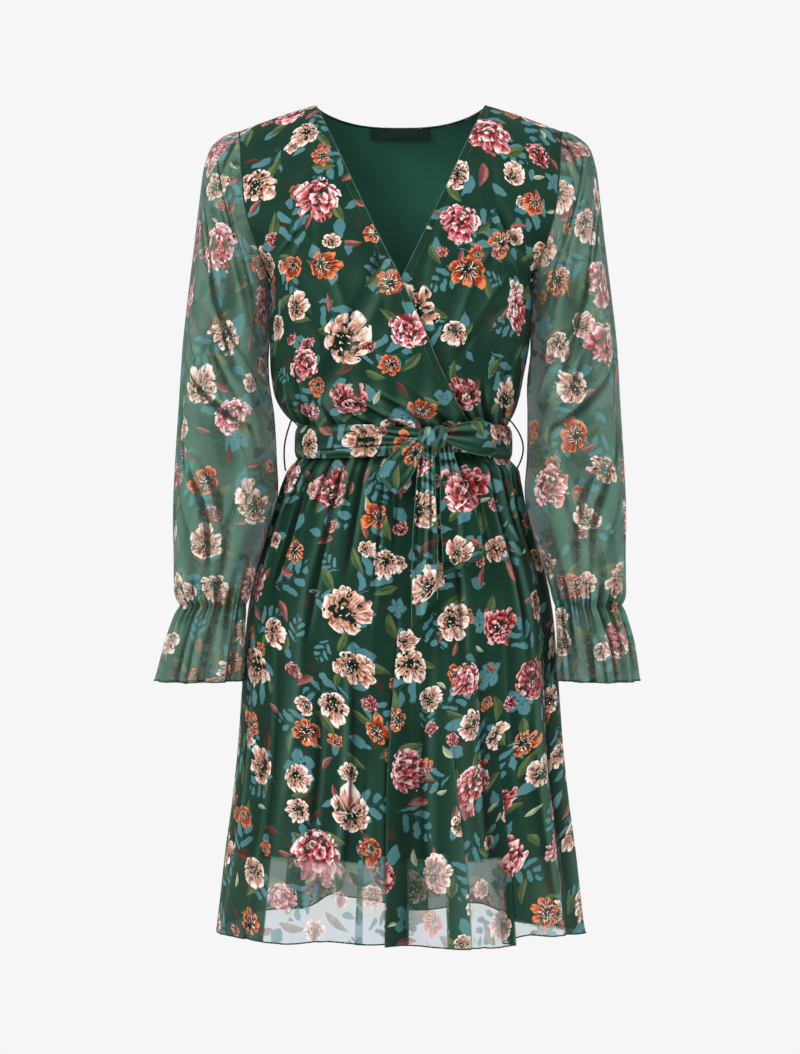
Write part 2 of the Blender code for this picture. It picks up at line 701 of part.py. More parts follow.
def main():
    for old in list(bpy.data.objects):
        bpy.data.objects.remove(old, do_unlink=True)
    cloth = material("printed_chiffon", GREEN, 0.75)
    lining = material("lining", LINING_GREEN, 0.60)
    black = material("black_trim", BLACK, 0.65)
    add_bodice(cloth, lining)
    add_label(black)
    add_skirt(cloth, lining)
    add_sleeves(cloth)
    add_belt(cloth)
    add_carriers(black)


main()
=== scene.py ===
"""The looks of the wrap dress: a printed chiffon over a plain lining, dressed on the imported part.

Metres, +Z up. The front faces -Y and +X is the wearer's left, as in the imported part. Each sheet of
cloth is a thin shell on its solid's own surface, with the finer folds and gathers, and it stands
for that solid. The print is drawn by the material: every motif has a place on the flat cloth, which
is kept on the mesh, and the shader works out its petals or leaves from there.
"""

import bpy
import numpy as np
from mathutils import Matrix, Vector


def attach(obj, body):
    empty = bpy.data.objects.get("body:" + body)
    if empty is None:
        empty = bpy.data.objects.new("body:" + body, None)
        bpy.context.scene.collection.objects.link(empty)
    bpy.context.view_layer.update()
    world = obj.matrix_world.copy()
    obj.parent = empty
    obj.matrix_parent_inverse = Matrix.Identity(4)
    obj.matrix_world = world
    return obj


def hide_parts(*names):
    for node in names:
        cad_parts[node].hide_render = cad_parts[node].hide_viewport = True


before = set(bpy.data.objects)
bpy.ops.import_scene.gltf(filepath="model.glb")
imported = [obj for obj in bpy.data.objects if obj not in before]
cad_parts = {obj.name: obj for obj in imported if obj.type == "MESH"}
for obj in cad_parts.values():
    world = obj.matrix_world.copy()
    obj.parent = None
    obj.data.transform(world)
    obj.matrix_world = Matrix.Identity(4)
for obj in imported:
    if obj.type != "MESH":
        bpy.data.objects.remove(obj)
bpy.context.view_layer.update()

# The sizes of the part in metres, as its source has them.
CLOTH = 0.0010  # how thick a wall is
SEAM = 0.0004  # the gap between two panels
LAYER = CLOTH + 0.0008  # from the outside of one layer of cloth to that of the next
OVERLAP_AIR = 0.0026
WAIST = -0.385
NECK_HALF = 0.097
SHOULDER_ROUND = 0.100
BACK_NECK_DROP = 0.017
UNDERARM = 0.511  # as a share of the bodice's height
LINING_HEM = -0.845
BELT_Z = -0.386
KNOT = np.array((0.0350, -0.1022, -0.3835))
KNOT_HALF = np.array((0.0160, 0.0090, 0.0125))

# The camera: level, straight in front, as far off and as long as the dress is seen.
CAMERA = (-0.0006, -2.700, -0.4820)
LENS = 80.6  # millimetres, over a picture 36 mm high

# The finer sizes of the cloth and its sewing.
FOLD_ROOM = 0.0022  # how deep a fold can be before it would meet the lining
STITCH = 0.0024
THREAD = 0.00026
FACING = 0.0085  # how far the stitches of the neck lie from its edge
EDGE_ROLL, SEAM_ROLL, HEM_ROLL = 0.00055, 0.0006, 0.0008  # half thicknesses

# How finely the sheets are divided: metres from point to point, or points across and down.
PITCH, LINING_PITCH, ROLL_STEP = 0.0030, 0.0055, 0.0028
PANEL_WIDTH = {-1: 0.30, 1: 0.42}  # about how wide a front and the back are
HALF_FAN = 120  # steps from the centre of the bodice to its side
SKIRT_GRID, SKIRT_LINING_GRID = (380, 190), (110, 90)
SLEEVE_GRID, CUFF_FROM = (210, 175, 48), 0.86  # across, down to the cuff, and down the cuff
BAND_GRID, KNOT_GRID, LABEL_GRID = (261, 30), (65, 45), (40, 16)
LOOP_GRID, TAIL_GRID = (84, 26), (110, 24)  # along and across

# How the print is laid.
PETAL_REACH = 1.16  # a blossom's petals end a little inside its radius
NO_MOTIF = 9.0  # a place far outside every motif
SMALL_BLOSSOM = 3.0  # centimetres: narrower ones are in the layer of the small blossoms
SMALLER = (1.0, 0.92, 0.84, 0.76, 0.68)  # shares of its size a charted blossom is tried at
FRONT_DEPTH = 0.02  # how far behind a sheet's middle a charted blossom can lie


def srgb(red, green, blue, alpha=1.0):
    """A colour given as on a screen, from 0 to 255, in the scene's own linear values."""
    shares = np.array((red, green, blue)) / 255.0
    linear = np.where(shares <= 0.04045, shares / 12.92, ((shares + 0.055) / 1.055) ** 2.4)
    return (*(float(value) for value in linear), alpha)


BACKDROP, FLOOR = srgb(246, 246, 246), srgb(240, 240, 240)
GROUND, GROUND_DARK = srgb(24, 62, 46), srgb(15, 46, 34)
# Painted light from behind: the cloth is painted paler where nothing lies behind it, and the
# sheer hem bluish at its lowest edge, where only the backdrop shows through.
UNLINED = srgb(98, 146, 122)  # what the ground pales to where nothing lies behind it
WINDOW, WINDOW_LOW = srgb(92, 138, 120), srgb(96, 170, 232)  # the sheer hem, and near its edge
RUSTY_WASH = srgb(84, 40, 26)
GRAIN = srgb(120, 150, 140)
# Painted shade for the hollows of the folds, lined and unlined, and a painted ridge highlight.
PAINTED_FOLD_SHADE, PAINTED_FOLD_SHADE_UNLINED, PAINTED_RIDGE_HIGHLIGHT = srgb(8, 22, 16), srgb(22, 48, 34), srgb(140, 190, 168)
# The thin blue and the thin motif tone are the print painted paler by that light from behind.
DEEP_BLUE, DUSTY_BLUE, THIN_BLUE = srgb(68, 118, 126), srgb(88, 136, 140), srgb(136, 172, 196)
CREAM, INK, THIN_MOTIF = srgb(250, 240, 214), srgb(14, 30, 22), srgb(255, 226, 226)
# The lining's own two tones, and a painted shade for the hollows of its folds.
LINING_DARK, LINING, PAINTED_LINING_FOLD_SHADE = srgb(52, 106, 90), srgb(62, 118, 102), srgb(8, 26, 20)
TAPE, TAPE_RIBS, BLACK_THREAD = srgb(42, 60, 52), srgb(66, 88, 78), srgb(34, 44, 38)
SEWN_EDGES = {
    "neck_edge": (srgb(38, 78, 62), srgb(104, 140, 122)),
    "rolled_hem": (srgb(18, 44, 34), srgb(60, 92, 78)),
    "seam": (srgb(24, 54, 42), srgb(44, 84, 68)),
}


class Profile:
    """A table with a row for each section, read as smooth curves over its first column."""

    def __init__(self, names, *rows):
        self.columns = dict(zip(names.split(), np.array(sorted(rows), float).T))
        self.key = next(iter(self.columns.values()))

    def at(self, place, *names):
        """The value there of one curve, or of several as a list."""
        knots, found = self.key, []
        place = np.clip(place, knots[0], knots[-1])
        i = np.clip(np.searchsorted(knots, place, side="right") - 1, 0, len(knots) - 2)
        width = knots[i + 1] - knots[i]
        t = (place - knots[i]) / width
        for values in (self.columns[name] for name in names):
            slopes = np.gradient(values, knots)
            start = (1 + 2 * t) * (1 - t) ** 2 * values[i] + t * (1 - t) ** 2 * width * slopes[i]
            end = t * t * (3 - 2 * t) * values[i + 1] + t * t * (t - 1) * width * slopes[i + 1]
            found.append(start + end)
        return found if len(names) > 1 else found[0]


BODICE = Profile(
    "height half_width front back squareness shift",
    (0.000, 0.1135, 0.086, 0.083, 2.0, 0.0035),
    (0.040, 0.1175, 0.088, 0.085, 2.0, 0.0025),
    (0.090, 0.1315, 0.100, 0.093, 2.1, -0.0015),
    (0.120, 0.1370, 0.106, 0.094, 2.2, -0.0032),
    (0.200, 0.1437, 0.115, 0.097, 2.2, -0.0036),
    (0.330, 0.1480, 0.126, 0.101, 2.4, -0.0005),
    (0.440, 0.1495, 0.126, 0.102, 2.6, 0.0000),
    (0.511, 0.1500, 0.119, 0.102, 2.7, 0.0000),
    (0.600, 0.1780, 0.109, 0.101, 2.3, 0.0000),
    (0.700, 0.2050, 0.097, 0.100, 2.5, 0.0000),
    (0.850, 0.2120, 0.080, 0.095, 2.9, 0.0000),
    (1.000, 0.2120, 0.062, 0.085, 3.0, 0.0000),
)
ARMHOLE = Profile(
    "height x",
    (0.511, 0.1500), (0.568, 0.1570), (0.625, 0.1640), (0.716, 0.1725), (0.850, 0.1780),
    (0.946, 0.1810), (1.000, 0.1840),
)
WRAP_EDGE = Profile(
    "height x",
    (0.000, 0.083), (0.200, 0.047), (0.4545, -0.001), (0.709, -0.047), (1.000, -0.097),
)
SKIRT = Profile(
    "z half_width front back fold shift",
    (-0.385, 0.1135, 0.086, 0.083, 0.0000, 0.0035),
    (-0.405, 0.1200, 0.090, 0.089, 0.0008, 0.0040),
    (-0.416, 0.1300, 0.098, 0.095, 0.0016, 0.0042),
    (-0.430, 0.1350, 0.102, 0.100, 0.0022, 0.0025),
    (-0.455, 0.1415, 0.107, 0.108, 0.0034, 0.0008),
    (-0.497, 0.1540, 0.115, 0.118, 0.0050, 0.0000),
    (-0.530, 0.1640, 0.121, 0.124, 0.0062, 0.0000),
    (-0.575, 0.1730, 0.127, 0.130, 0.0078, 0.0000),
    (-0.622, 0.1778, 0.131, 0.134, 0.0090, 0.0000),
    (-0.670, 0.1810, 0.135, 0.137, 0.0105, 0.0000),
    (-0.740, 0.1860, 0.140, 0.141, 0.0120, 0.0000),
    (-0.800, 0.1925, 0.144, 0.144, 0.0132, 0.0000),
    (-0.850, 0.1995, 0.148, 0.147, 0.0140, 0.0000),
    (-0.904, 0.2055, 0.152, 0.150, 0.0148, 0.0000),
    (-0.960, 0.2120, 0.156, 0.153, 0.0152, 0.0000),
)
HEM = Profile(
    "angle front back",
    (-90.0, -0.9400, -0.9400), (-69.0, -0.9372, -0.9380), (-43.0, -0.9350, -0.9375),
    (-33.0, -0.9350, -0.9350), (-25.0, -0.9308, -0.9225), (-17.0, -0.9290, -0.9290),
    (-8.0, -0.9318, -0.9355), (3.0, -0.9352, -0.9430), (14.0, -0.9362, -0.9405),
    (24.0, -0.9370, -0.9360), (32.0, -0.9405, -0.9410), (36.0, -0.9385, -0.9445),
    (40.0, -0.9318, -0.9475), (51.0, -0.9322, -0.9510), (76.0, -0.9415, -0.9490),
    (90.0, -0.9445, -0.9445),
)
FRONT_FOLDS = (
    # angle, half width, share of the fold reach
    (-66.0, 13.0, 0.45), (-40.0, 12.0, 0.85), (-14.0, 9.0, 1.15), (2.0, 8.0, -1.00),
    (19.0, 9.0, 1.05), (37.0, 10.0, -0.75), (52.0, 9.0, 0.80), (70.0, 10.0, -0.55),
)
BACK_FOLDS = (
    (-68.0, 12.0, -0.50), (-50.0, 11.0, 0.85), (-30.0, 10.0, -0.90), (-11.0, 10.0, 1.10),
    (8.0, 9.0, -0.85), (26.0, 10.0, 1.00), (46.0, 11.0, -0.80), (66.0, 12.0, 0.45),
)
SLEEVE = Profile(
    "along outer_x outer_z inner_x inner_z half_depth y fold gather left_outer left_inner",
    (0.00, 0.1843, -0.0302, 0.1512, -0.2052, 0.0610, 0.000, 0.0000, 0.0000, 0.0000, 0.0000),
    (0.05, 0.2000, -0.0347, 0.1510, -0.2100, 0.0615, 0.000, 0.0004, 0.0000, -0.0010, 0.0000),
    (0.10, 0.2150, -0.0465, 0.1509, -0.2160, 0.0600, 0.000, 0.0012, 0.0000, -0.0010, 0.0000),
    (0.16, 0.2240, -0.0700, 0.1508, -0.2240, 0.0580, -0.001, 0.0018, 0.0000, -0.0012, 0.0000),
    (0.23, 0.2290, -0.1040, 0.1508, -0.2360, 0.0560, -0.002, 0.0022, 0.0000, -0.0015, 0.0000),
    (0.31, 0.2350, -0.1560, 0.1505, -0.2560, 0.0545, -0.004, 0.0028, 0.0000, -0.0018, 0.0000),
    (0.39, 0.2420, -0.2170, 0.1508, -0.2830, 0.0535, -0.008, 0.0034, 0.0000, -0.0018, -0.0020),
    (0.48, 0.2480, -0.2780, 0.1495, -0.3170, 0.0530, -0.013, 0.0040, 0.0000, -0.0016, -0.0050),
    (0.57, 0.2516, -0.3400, 0.1435, -0.3570, 0.0525, -0.019, 0.0042, 0.0000, -0.0020, 0.0010),
    (0.65, 0.2552, -0.4000, 0.1405, -0.4040, 0.0520, -0.026, 0.0042, 0.0000, -0.0022, 0.0030),
    (0.71, 0.2575, -0.4470, 0.1390, -0.4470, 0.0515, -0.032, 0.0040, 0.0000, -0.0022, 0.0018),
    (0.78, 0.2578, -0.4950, 0.1510, -0.4950, 0.0490, -0.038, 0.0036, 0.0004, -0.0022, 0.0000),
    (0.84, 0.2555, -0.5370, 0.1645, -0.5370, 0.0430, -0.042, 0.0024, 0.0012, -0.0020, 0.0000),
    (0.885, 0.2502, -0.5610, 0.1715, -0.5610, 0.0340, -0.045, 0.0008, 0.0020, -0.0018, 0.0000),
    (0.90, 0.2455, -0.5695, 0.1745, -0.5695, 0.0310, -0.045, 0.0000, 0.0022, -0.0010, 0.0000),
    (0.92, 0.2515, -0.5820, 0.1752, -0.5820, 0.0330, -0.045, 0.0000, 0.0026, -0.0020, 0.0000),
    (0.95, 0.2605, -0.6060, 0.1760, -0.6060, 0.0380, -0.045, 0.0000, 0.0034, -0.0028, 0.0000),
    (1.00, 0.2735, -0.6545, 0.1790, -0.6540, 0.0470, -0.045, 0.0000, 0.0050, -0.0085, 0.0000),
)
ELASTIC = 0.90  # where the elastic is, along the sleeve
DRAWN = 0.030  # how far from there the cloth is drawn together
SLEEVE_FOLDS = 5
FRILL_WAVES = 9
SLEEVE_ROUND = 0.330  # metres round the sleeve at the elbow
SLEEVE_LONG = 0.66


def smoothstep(low, high, value):
    t = np.clip((value - low) / (high - low), 0.0, 1.0)
    return t * t * (3 - 2 * t)


def unit(vectors):
    return vectors / np.maximum(np.linalg.norm(vectors, axis=-1, keepdims=True), 1e-12)


def stack(*parts):
    return np.stack(np.broadcast_arrays(*parts), axis=-1).astype(float)


def even_grid(columns, rows):
    return np.meshgrid(np.linspace(0, 1, columns), np.linspace(0, 1, rows))


def bell(away, width):
    """1 in the middle, and less to both sides over the width."""
    return np.exp(-((away / width) ** 2))


def ripples(place, seed, low, high, count=7):
    """An uneven wave along place, of between low and high waves a metre."""
    rng = np.random.default_rng(seed)
    rates, starts = rng.uniform(low, high, count), rng.uniform(0, 1, count)
    waves = sum(np.cos(2 * np.pi * (rate * place + start)) for rate, start in zip(rates, starts))
    return waves / np.sqrt(count)


def from_line(s, t, s0, t0, s1, t1, bow):
    """How far along a bowed line each place is, as a share of it, and how far to its side.

    The line and the distance are in millimetres, s and t in metres.
    """
    way = np.array((s1 - s0, t1 - t0), float)
    length = np.linalg.norm(way)
    ahead, across = way / length, np.array((way[1], -way[0])) / length
    ds, dt = s * 1000 - s0, t * 1000 - t0
    along = (ds * ahead[0] + dt * ahead[1]) / length
    return along, ds * across[0] + dt * across[1] - bow * 4 * along * (1 - along)


def creases(s, t, table):
    """Soft troughs and ridges. Each is steeper on one side, and the sides take turns."""
    total = np.zeros(np.broadcast(s, t).shape)
    for row, (*line, width, height) in enumerate(table):
        along, off = from_line(s, t, *line)
        taper = smoothstep(-0.12, 0.3, along) * smoothstep(1.12, 0.65, along)
        width = width * np.where(off * (-1) ** row > 0, 0.5, 1.2)
        total += height / 1000 * taper * bell(off, width)
    return total


def laps(s, t, table):
    """Where the cloth lies over itself: from 1 at a crisp edge, fading to one side of the line."""
    total = np.zeros(np.broadcast(s, t).shape)
    for *line, fade in table:
        along, off = from_line(s, t, *line)
        off = off * np.sign(fade)
        taper = smoothstep(-0.05, 0.25, along) * smoothstep(1.05, 0.7, along)
        total = np.maximum(total, smoothstep(-0.8, 0.8, off) * bell(off, fade) * taper)
    return total


def path_length(points, axis):
    """How far each point lies along its row or column, from the first one."""
    steps = np.linalg.norm(np.diff(points, axis=axis), axis=-1)
    start = np.zeros_like(np.take(steps, [0], axis=axis))
    return np.concatenate([start, np.cumsum(steps, axis=axis)], axis=axis)


def on_line(line, places):
    """The points that lie on a line of points at these lengths along it."""
    length = path_length(line, 0)
    return np.stack([np.interp(places, length, line[:, k]) for k in range(3)], axis=1)


def faced(vectors, outward):
    """The vectors, each turned round if it points against outward."""
    sign = np.sign((vectors * outward).sum(axis=-1, keepdims=True))
    return vectors * np.where(sign == 0, 1.0, sign)


def normals(surface, u, v, outward, step=1e-3):
    """Unit normals of surface(u, v), turned to agree with outward(points)."""
    across = surface(u + step, v) - surface(u - step, v)
    down = surface(u, np.minimum(v + step, 1)) - surface(u, np.maximum(v - step, 0))
    return faced(unit(np.cross(across, down)), outward(surface(u, v)))


def from_axis(points):
    """Outwards, away from the dress's own middle."""
    high = points[..., 2:] > -0.12
    return points * (1.0, 1.0, 0.0) + high * (points * (0, 0, 1.0) + (0.0, 0.0, 0.12))


def oval(angle, half_width, depth, squareness):
    power = 2.0 / squareness
    x = half_width * np.sign(np.sin(angle)) * np.abs(np.sin(angle)) ** power
    return x, depth * np.abs(np.cos(angle)) ** power


# ------------------------------------------------------------------------------------- materials


def operator(operation, swapped=False):
    def reckoned(self, other):
        pair = (other, self) if swapped else (self, other)
        return self.board.math(operation, *pair)

    return reckoned


class Signal:
    """A value in a material. What is reckoned with it adds the nodes that reckon it."""

    __add__ = __radd__ = operator("ADD")
    __mul__ = __rmul__ = operator("MULTIPLY")
    __sub__, __rsub__ = operator("SUBTRACT"), operator("SUBTRACT", swapped=True)
    __truediv__, __pow__ = operator("DIVIDE"), operator("POWER")

    def __init__(self, board, socket):
        self.board, self.socket = board, socket

    def floor(self):
        return self.board.math("FLOOR", self)

    def fraction(self):
        return self.board.math("FRACT", self)

    def size(self):
        return self.board.math("ABSOLUTE", self)

    def cut(self, sharpness=1.0):
        """Its share between 0 and 1, after it is made steeper."""
        return self.board.math("MULTIPLY", self, sharpness, clamp=True)


class Board:
    """The node tree of a material, and the ways to add to it."""

    def __init__(self, name):
        self.material = bpy.data.materials.new(name)
        self.material.use_nodes = True
        self.tree = self.material.node_tree
        self.shader = self.tree.nodes["Principled BSDF"]

    def add(self, kind, inputs, output=0, **settings):
        node = self.tree.nodes.new(kind)
        for name, value in settings.items():
            setattr(node, name, value)
        for key, value in inputs.items():
            self.feed(node.inputs[key], value)
        return Signal(self, node.outputs[output])

    def feed(self, socket, value):
        if isinstance(value, Signal):
            self.tree.links.new(value.socket, socket)
        else:
            socket.default_value = value

    def math(self, operation, *values, clamp=False):
        inputs = dict(enumerate(values))
        return self.add("ShaderNodeMath", inputs, operation=operation, use_clamp=clamp)

    def attribute(self, name, output="Vector"):
        return self.add("ShaderNodeAttribute", {}, output, attribute_name=name)

    def places(self, name):
        """The three numbers of the attribute name."""
        return self.parts(self.attribute(name))

    def parts(self, vector):
        x = self.add("ShaderNodeSeparateXYZ", {0: vector})
        return tuple(Signal(self, socket) for socket in x.socket.node.outputs)

    def vector(self, x, y, z=0.0):
        return self.add("ShaderNodeCombineXYZ", {0: x, 1: y, 2: z})

    def length(self, x, y):
        return self.math("SQRT", x * x + y * y)

    def noise(self, place, scale, detail=1.0, roughness=0.5):
        inputs = {"Vector": place, "Scale": scale, "Detail": detail, "Roughness": roughness}
        return self.add("ShaderNodeTexNoise", inputs)

    def chance(self, value):
        return self.add("ShaderNodeTexWhiteNoise", {"W": value}, noise_dimensions="1D")

    def smooth(self, low, high, value):
        inputs = {"Value": value, "From Min": low, "From Max": high}
        return self.add("ShaderNodeMapRange", inputs, interpolation_type="SMOOTHSTEP")

    def blend(self, share, first, second):
        """A colour between two others."""
        inputs = {0: share, 6: first, 7: second}
        return self.add("ShaderNodeMix", inputs, 2, data_type="RGBA")

    def choice(self, index, colours):
        """One of the colours, by the whole number index."""
        made = self.add("ShaderNodeValToRGB", {0: (index + 0.5) / len(colours)})
        ramp = made.socket.node.color_ramp
        ramp.interpolation = "CONSTANT"
        while len(ramp.elements) < len(colours):
            ramp.elements.new(1.0)
        for place, colour in enumerate(colours):
            ramp.elements[place].position = place / len(colours)
            ramp.elements[place].color = colour
        return made

    def bump(self, height, distance):
        inputs = {"Height": height, "Distance": distance, "Strength": 1.0}
        self.feed(self.shader.inputs["Normal"], self.add("ShaderNodeBump", inputs))

    def finish(self, shine=0.08, **values):
        """Sets the shader's own sockets, such as roughness=0.8 or sheen_weight=0.1."""
        self.shader.inputs["Specular IOR Level"].default_value = shine
        for name, value in values.items():
            self.feed(self.shader.inputs[name.replace("_", " ").title()], value)
        return self.material


# The blossoms of the print: deep, middle and tip colours, and then how far the petals part, how
# clear the pale spokes round the heart are, how many dark specks there are, and how ruffled the
# petals inside are.
BLOSSOMS = {
    "peony": (srgb(134, 24, 38), srgb(222, 112, 116), srgb(255, 238, 236), (0.38, 0.0, 0.9, 0.9)),
    "crimson": (srgb(84, 12, 20), srgb(190, 58, 64), srgb(250, 198, 198), (0.40, 0.0, 1.0, 0.8)),
    "rust": (srgb(88, 24, 10), srgb(188, 64, 28), srgb(236, 138, 92), (0.46, 1.0, 0.8, 0.0)),
    "peach": (srgb(122, 58, 42), srgb(222, 158, 136), srgb(255, 242, 232), (0.30, 0.6, 1.0, 0.12)),
    "lily": (srgb(108, 46, 28), srgb(216, 146, 120), srgb(255, 242, 232), (0.50, 0.3, 1.0, 0.36)),
}
LEAVES = {
    "olive": (srgb(54, 74, 40), srgb(104, 122, 76)),
    "pale": (srgb(128, 146, 108), srgb(204, 212, 180)),
    "rose": (srgb(96, 44, 40), srgb(186, 116, 108)),
    "brown": (srgb(62, 32, 22), srgb(112, 58, 42)),
}


def petals(board, angle, radius, count, seed, parting):
    """The outer petals: how far inside them a place is, and the tone there."""
    count = (count + 0.5).floor()
    turn = angle * (count / (2 * np.pi)) + seed
    cell = board.math("FLOORED_MODULO", turn.floor(), count)
    length = board.chance(cell + (seed * 64).floor() * 16)  # whole numbers, so it doesn't flicker
    off = (turn.fraction() - 0.5) * 2
    between = off.size()
    edge = 1 - (length * 0.7 + between**4 * 0.7) * parting
    inside = (edge - radius).cut(34)
    line = board.smooth(0.84, 0.98, between) * board.smooth(0.1, 0.5, radius) * 0.9
    rim = board.smooth(0.72, 0.96, radius / edge) * 0.50
    tone = board.smooth(0.10, 0.95, radius) * 0.75 + rim - line + (length - 0.5) * 0.35
    return inside, tone + off * 0.16


def ruffles(board, x, y, angle, seed):
    """The tone of small petals one behind another: each is dark inwards and pale at its rim."""
    place = board.vector(x + seed * 11, y + seed * 5)
    inputs = {"Vector": place, "Scale": 4.2, "Randomness": 0.9}
    cells = board.add("ShaderNodeTexVoronoi", inputs, "Position", voronoi_dimensions="2D")
    cell_x, cell_y, _ = board.parts(cells)
    outward = (x + seed * 11 - cell_x) * board.math("COSINE", angle)
    outward = outward + (y + seed * 5 - cell_y) * board.math("SINE", angle)
    shade = board.chance(cell_x * 31 + cell_y * 57)
    return outward * 4.6 + 0.45 + (shade - 0.5) * 0.9


def blossom(board, name):
    """The cover and the colour of the blossoms whose places are in the attribute name."""
    x, y, seed = board.places(name)
    kind, count, heart = board.places(name + "_style")
    names = list(BLOSSOMS)
    traits = board.choice(kind, [BLOSSOMS[n][3] for n in names])
    ruffled = Signal(board, traits.socket.node.outputs["Alpha"])
    parting, spokes, specks = board.parts(traits)

    # The heart lies to one side, so the petals are long on the other.
    plane = board.vector(x, y, seed)
    x = x - board.math("MAXIMUM", 1 - x * x - y * y, 0.0) * 0.32
    wander = board.noise(plane, 2.0, 1.0)
    away = board.length(x, y)
    radius = away * (0.80 + wander * 0.40)
    angle = board.math("ARCTAN2", y, x) + (wander - 0.5) * (0.9 + ruffled * 1.3)
    way = board.vector(x / (radius + 0.04), y / (radius + 0.04), seed + radius * 0.5)
    streaks = board.noise(way, 2.6, 1.0)
    veins = board.noise(way, 6.5, 0.0)

    cover, tone = petals(board, angle, radius, count, seed, parting)
    cover = cover * (1.03 - away).cut(22)
    inner = ruffles(board, x, y, angle, seed)
    depth = ruffled * board.smooth(1.05, 0.70, radius)
    tone = tone + (inner - tone) * depth
    tone = tone * 0.9 + (streaks - 0.5) * 0.8 + x * ruffled * 0.30
    deep, middle, tip = (board.choice(kind, [BLOSSOMS[n][i] for n in names]) for i in range(3))
    colour = board.blend((tone * 2).cut(), deep, middle)
    colour = board.blend((tone * 2 - 1).cut(1.3), colour, tip)
    cleft = board.smooth(0.40, 0.36, veins) * board.smooth(0.15, 0.4, radius)
    plain = 0.85 - ruffled * 0.55
    colour = board.blend(cleft * plain * 0.8, colour, deep)
    glint = board.smooth(0.61, 0.65, veins) * board.smooth(0.30, 0.65, radius)
    colour = board.blend(glint * (1 - spokes * 0.5) * plain, colour, tip)

    ray = ((angle * (13 / (2 * np.pi)) + wander * 2).fraction() - 0.5).size()
    ring = board.smooth(heart * 0.6, heart * 0.9, radius)
    ring = ring * board.smooth(heart * 2.1, heart * 1.4, radius)
    speck = board.noise(plane, 5.5, 0.0)
    dark = ((heart * (0.35 + wander * 1.2) - radius) * 9).cut()
    around = (board.smooth(0.75, 0.30, radius) + board.smooth(0.15, 0.55, x) * 0.3).cut()
    blots = (speck - 0.74 + around * 0.20).cut(40) * specks
    colour = board.blend((0.17 - ray).cut(9) * ring * spokes, colour, CREAM)
    colour = board.blend(board.math("MAXIMUM", dark, blots), colour, INK)
    pollen = board.smooth(0.66, 0.69, board.noise(plane, 11.0, 0.0))
    pollen = pollen * board.smooth(heart * 1.3, heart * 0.6, radius)
    return cover, board.blend(pollen, colour, CREAM)


def leaf_shape(board, x, y, seed, width):
    """How far inside a leaf a place is. The leaf lies along x from -1 to 1."""
    bent = y - board.math("SINE", seed * 40) * 0.22 * (1 - x * x)
    half = (1 - x * x) * (1 - x * 0.4) * width
    return bent, half - bent.size()


def leaves(board, name):
    x, y, seed = board.places(name)
    kind, width, _ = board.places(name + "_style")
    bent, inside = leaf_shape(board, x, y, seed, width)
    names = list(LEAVES)
    dark, light = (board.choice(kind, [LEAVES[n][i] for n in names]) for i in range(2))
    mottle = board.noise(board.vector(x * 0.6, y * 2.2, seed), 3.0, 2.0)
    lit = board.smooth(-0.04, 0.05, bent) * 0.5 + (mottle - 0.5) * 1.4 + 0.2
    colour = board.blend(lit.cut(), dark, light)
    vein = (0.035 - bent.size()).cut(30)
    return inside.cut(16), board.blend(vein * 0.6, colour, INK)


def silhouettes(board, name):
    """Flat dusty-blue shapes: a leaf, a blossom with holes, or a stem with small leaves."""
    x, y, seed = board.places(name)
    kind, width, _ = board.places(name + "_style")
    x = x + (board.noise(board.vector(x, y, seed * 3), 1.9, 2.0) - 0.5) * 0.40
    y = y + (board.noise(board.vector(x, y, seed * 7), 2.3, 2.0) - 0.5) * 0.40
    _, leaf = leaf_shape(board, x, y, seed, width)
    radius = board.length(x, y)
    angle = board.math("ARCTAN2", y, x)
    wander = board.noise(board.vector(x, y, seed), 1.7, 1.0)
    three = board.math("LESS_THAN", width, 0.5)
    lobes = board.math("COSINE", angle * (2.5 - three)).size() ** 0.7
    head = 0.46 + lobes * 0.34 + (wander - 0.5) * 0.85 - radius
    dots = {"Vector": board.vector(x + seed * 3, y), "Scale": 5.0}
    dots = board.add("ShaderNodeTexVoronoi", dots, "Distance", voronoi_dimensions="2D")
    holes = 1 - (0.27 + (wander - 0.5) * 0.9 - dots).cut(12) * board.smooth(0.42, 0.30, radius)

    bowed = y - board.math("SINE", seed * 30) * 0.25 * (1 - x * x)
    away = bowed.size()
    side = board.math("GREATER_THAN", bowed, 0.0)
    long = (1 - x * x) * 0.32 + 0.05
    step = x * 1.6 - away * 1.2 + side * 0.5 + seed
    across = (step.fraction() - 0.5) / 0.34
    out = (away - long - 0.03) / long
    blades = (1 - out * out - across * across) * 0.25
    stalk = (0.022 - away) * (0.95 - x.size()).cut(9)
    sprig = board.math("MAXIMUM", blades, stalk)
    is_head = (kind - 0.5).cut(9) * (1.5 - kind).cut(9)
    is_sprig = (kind - 1.5).cut(9)
    shape = leaf.cut(16) * (1 - is_head) * (1 - is_sprig)
    return shape + head.cut(16) * holes * is_head + sprig.cut(16) * is_sprig


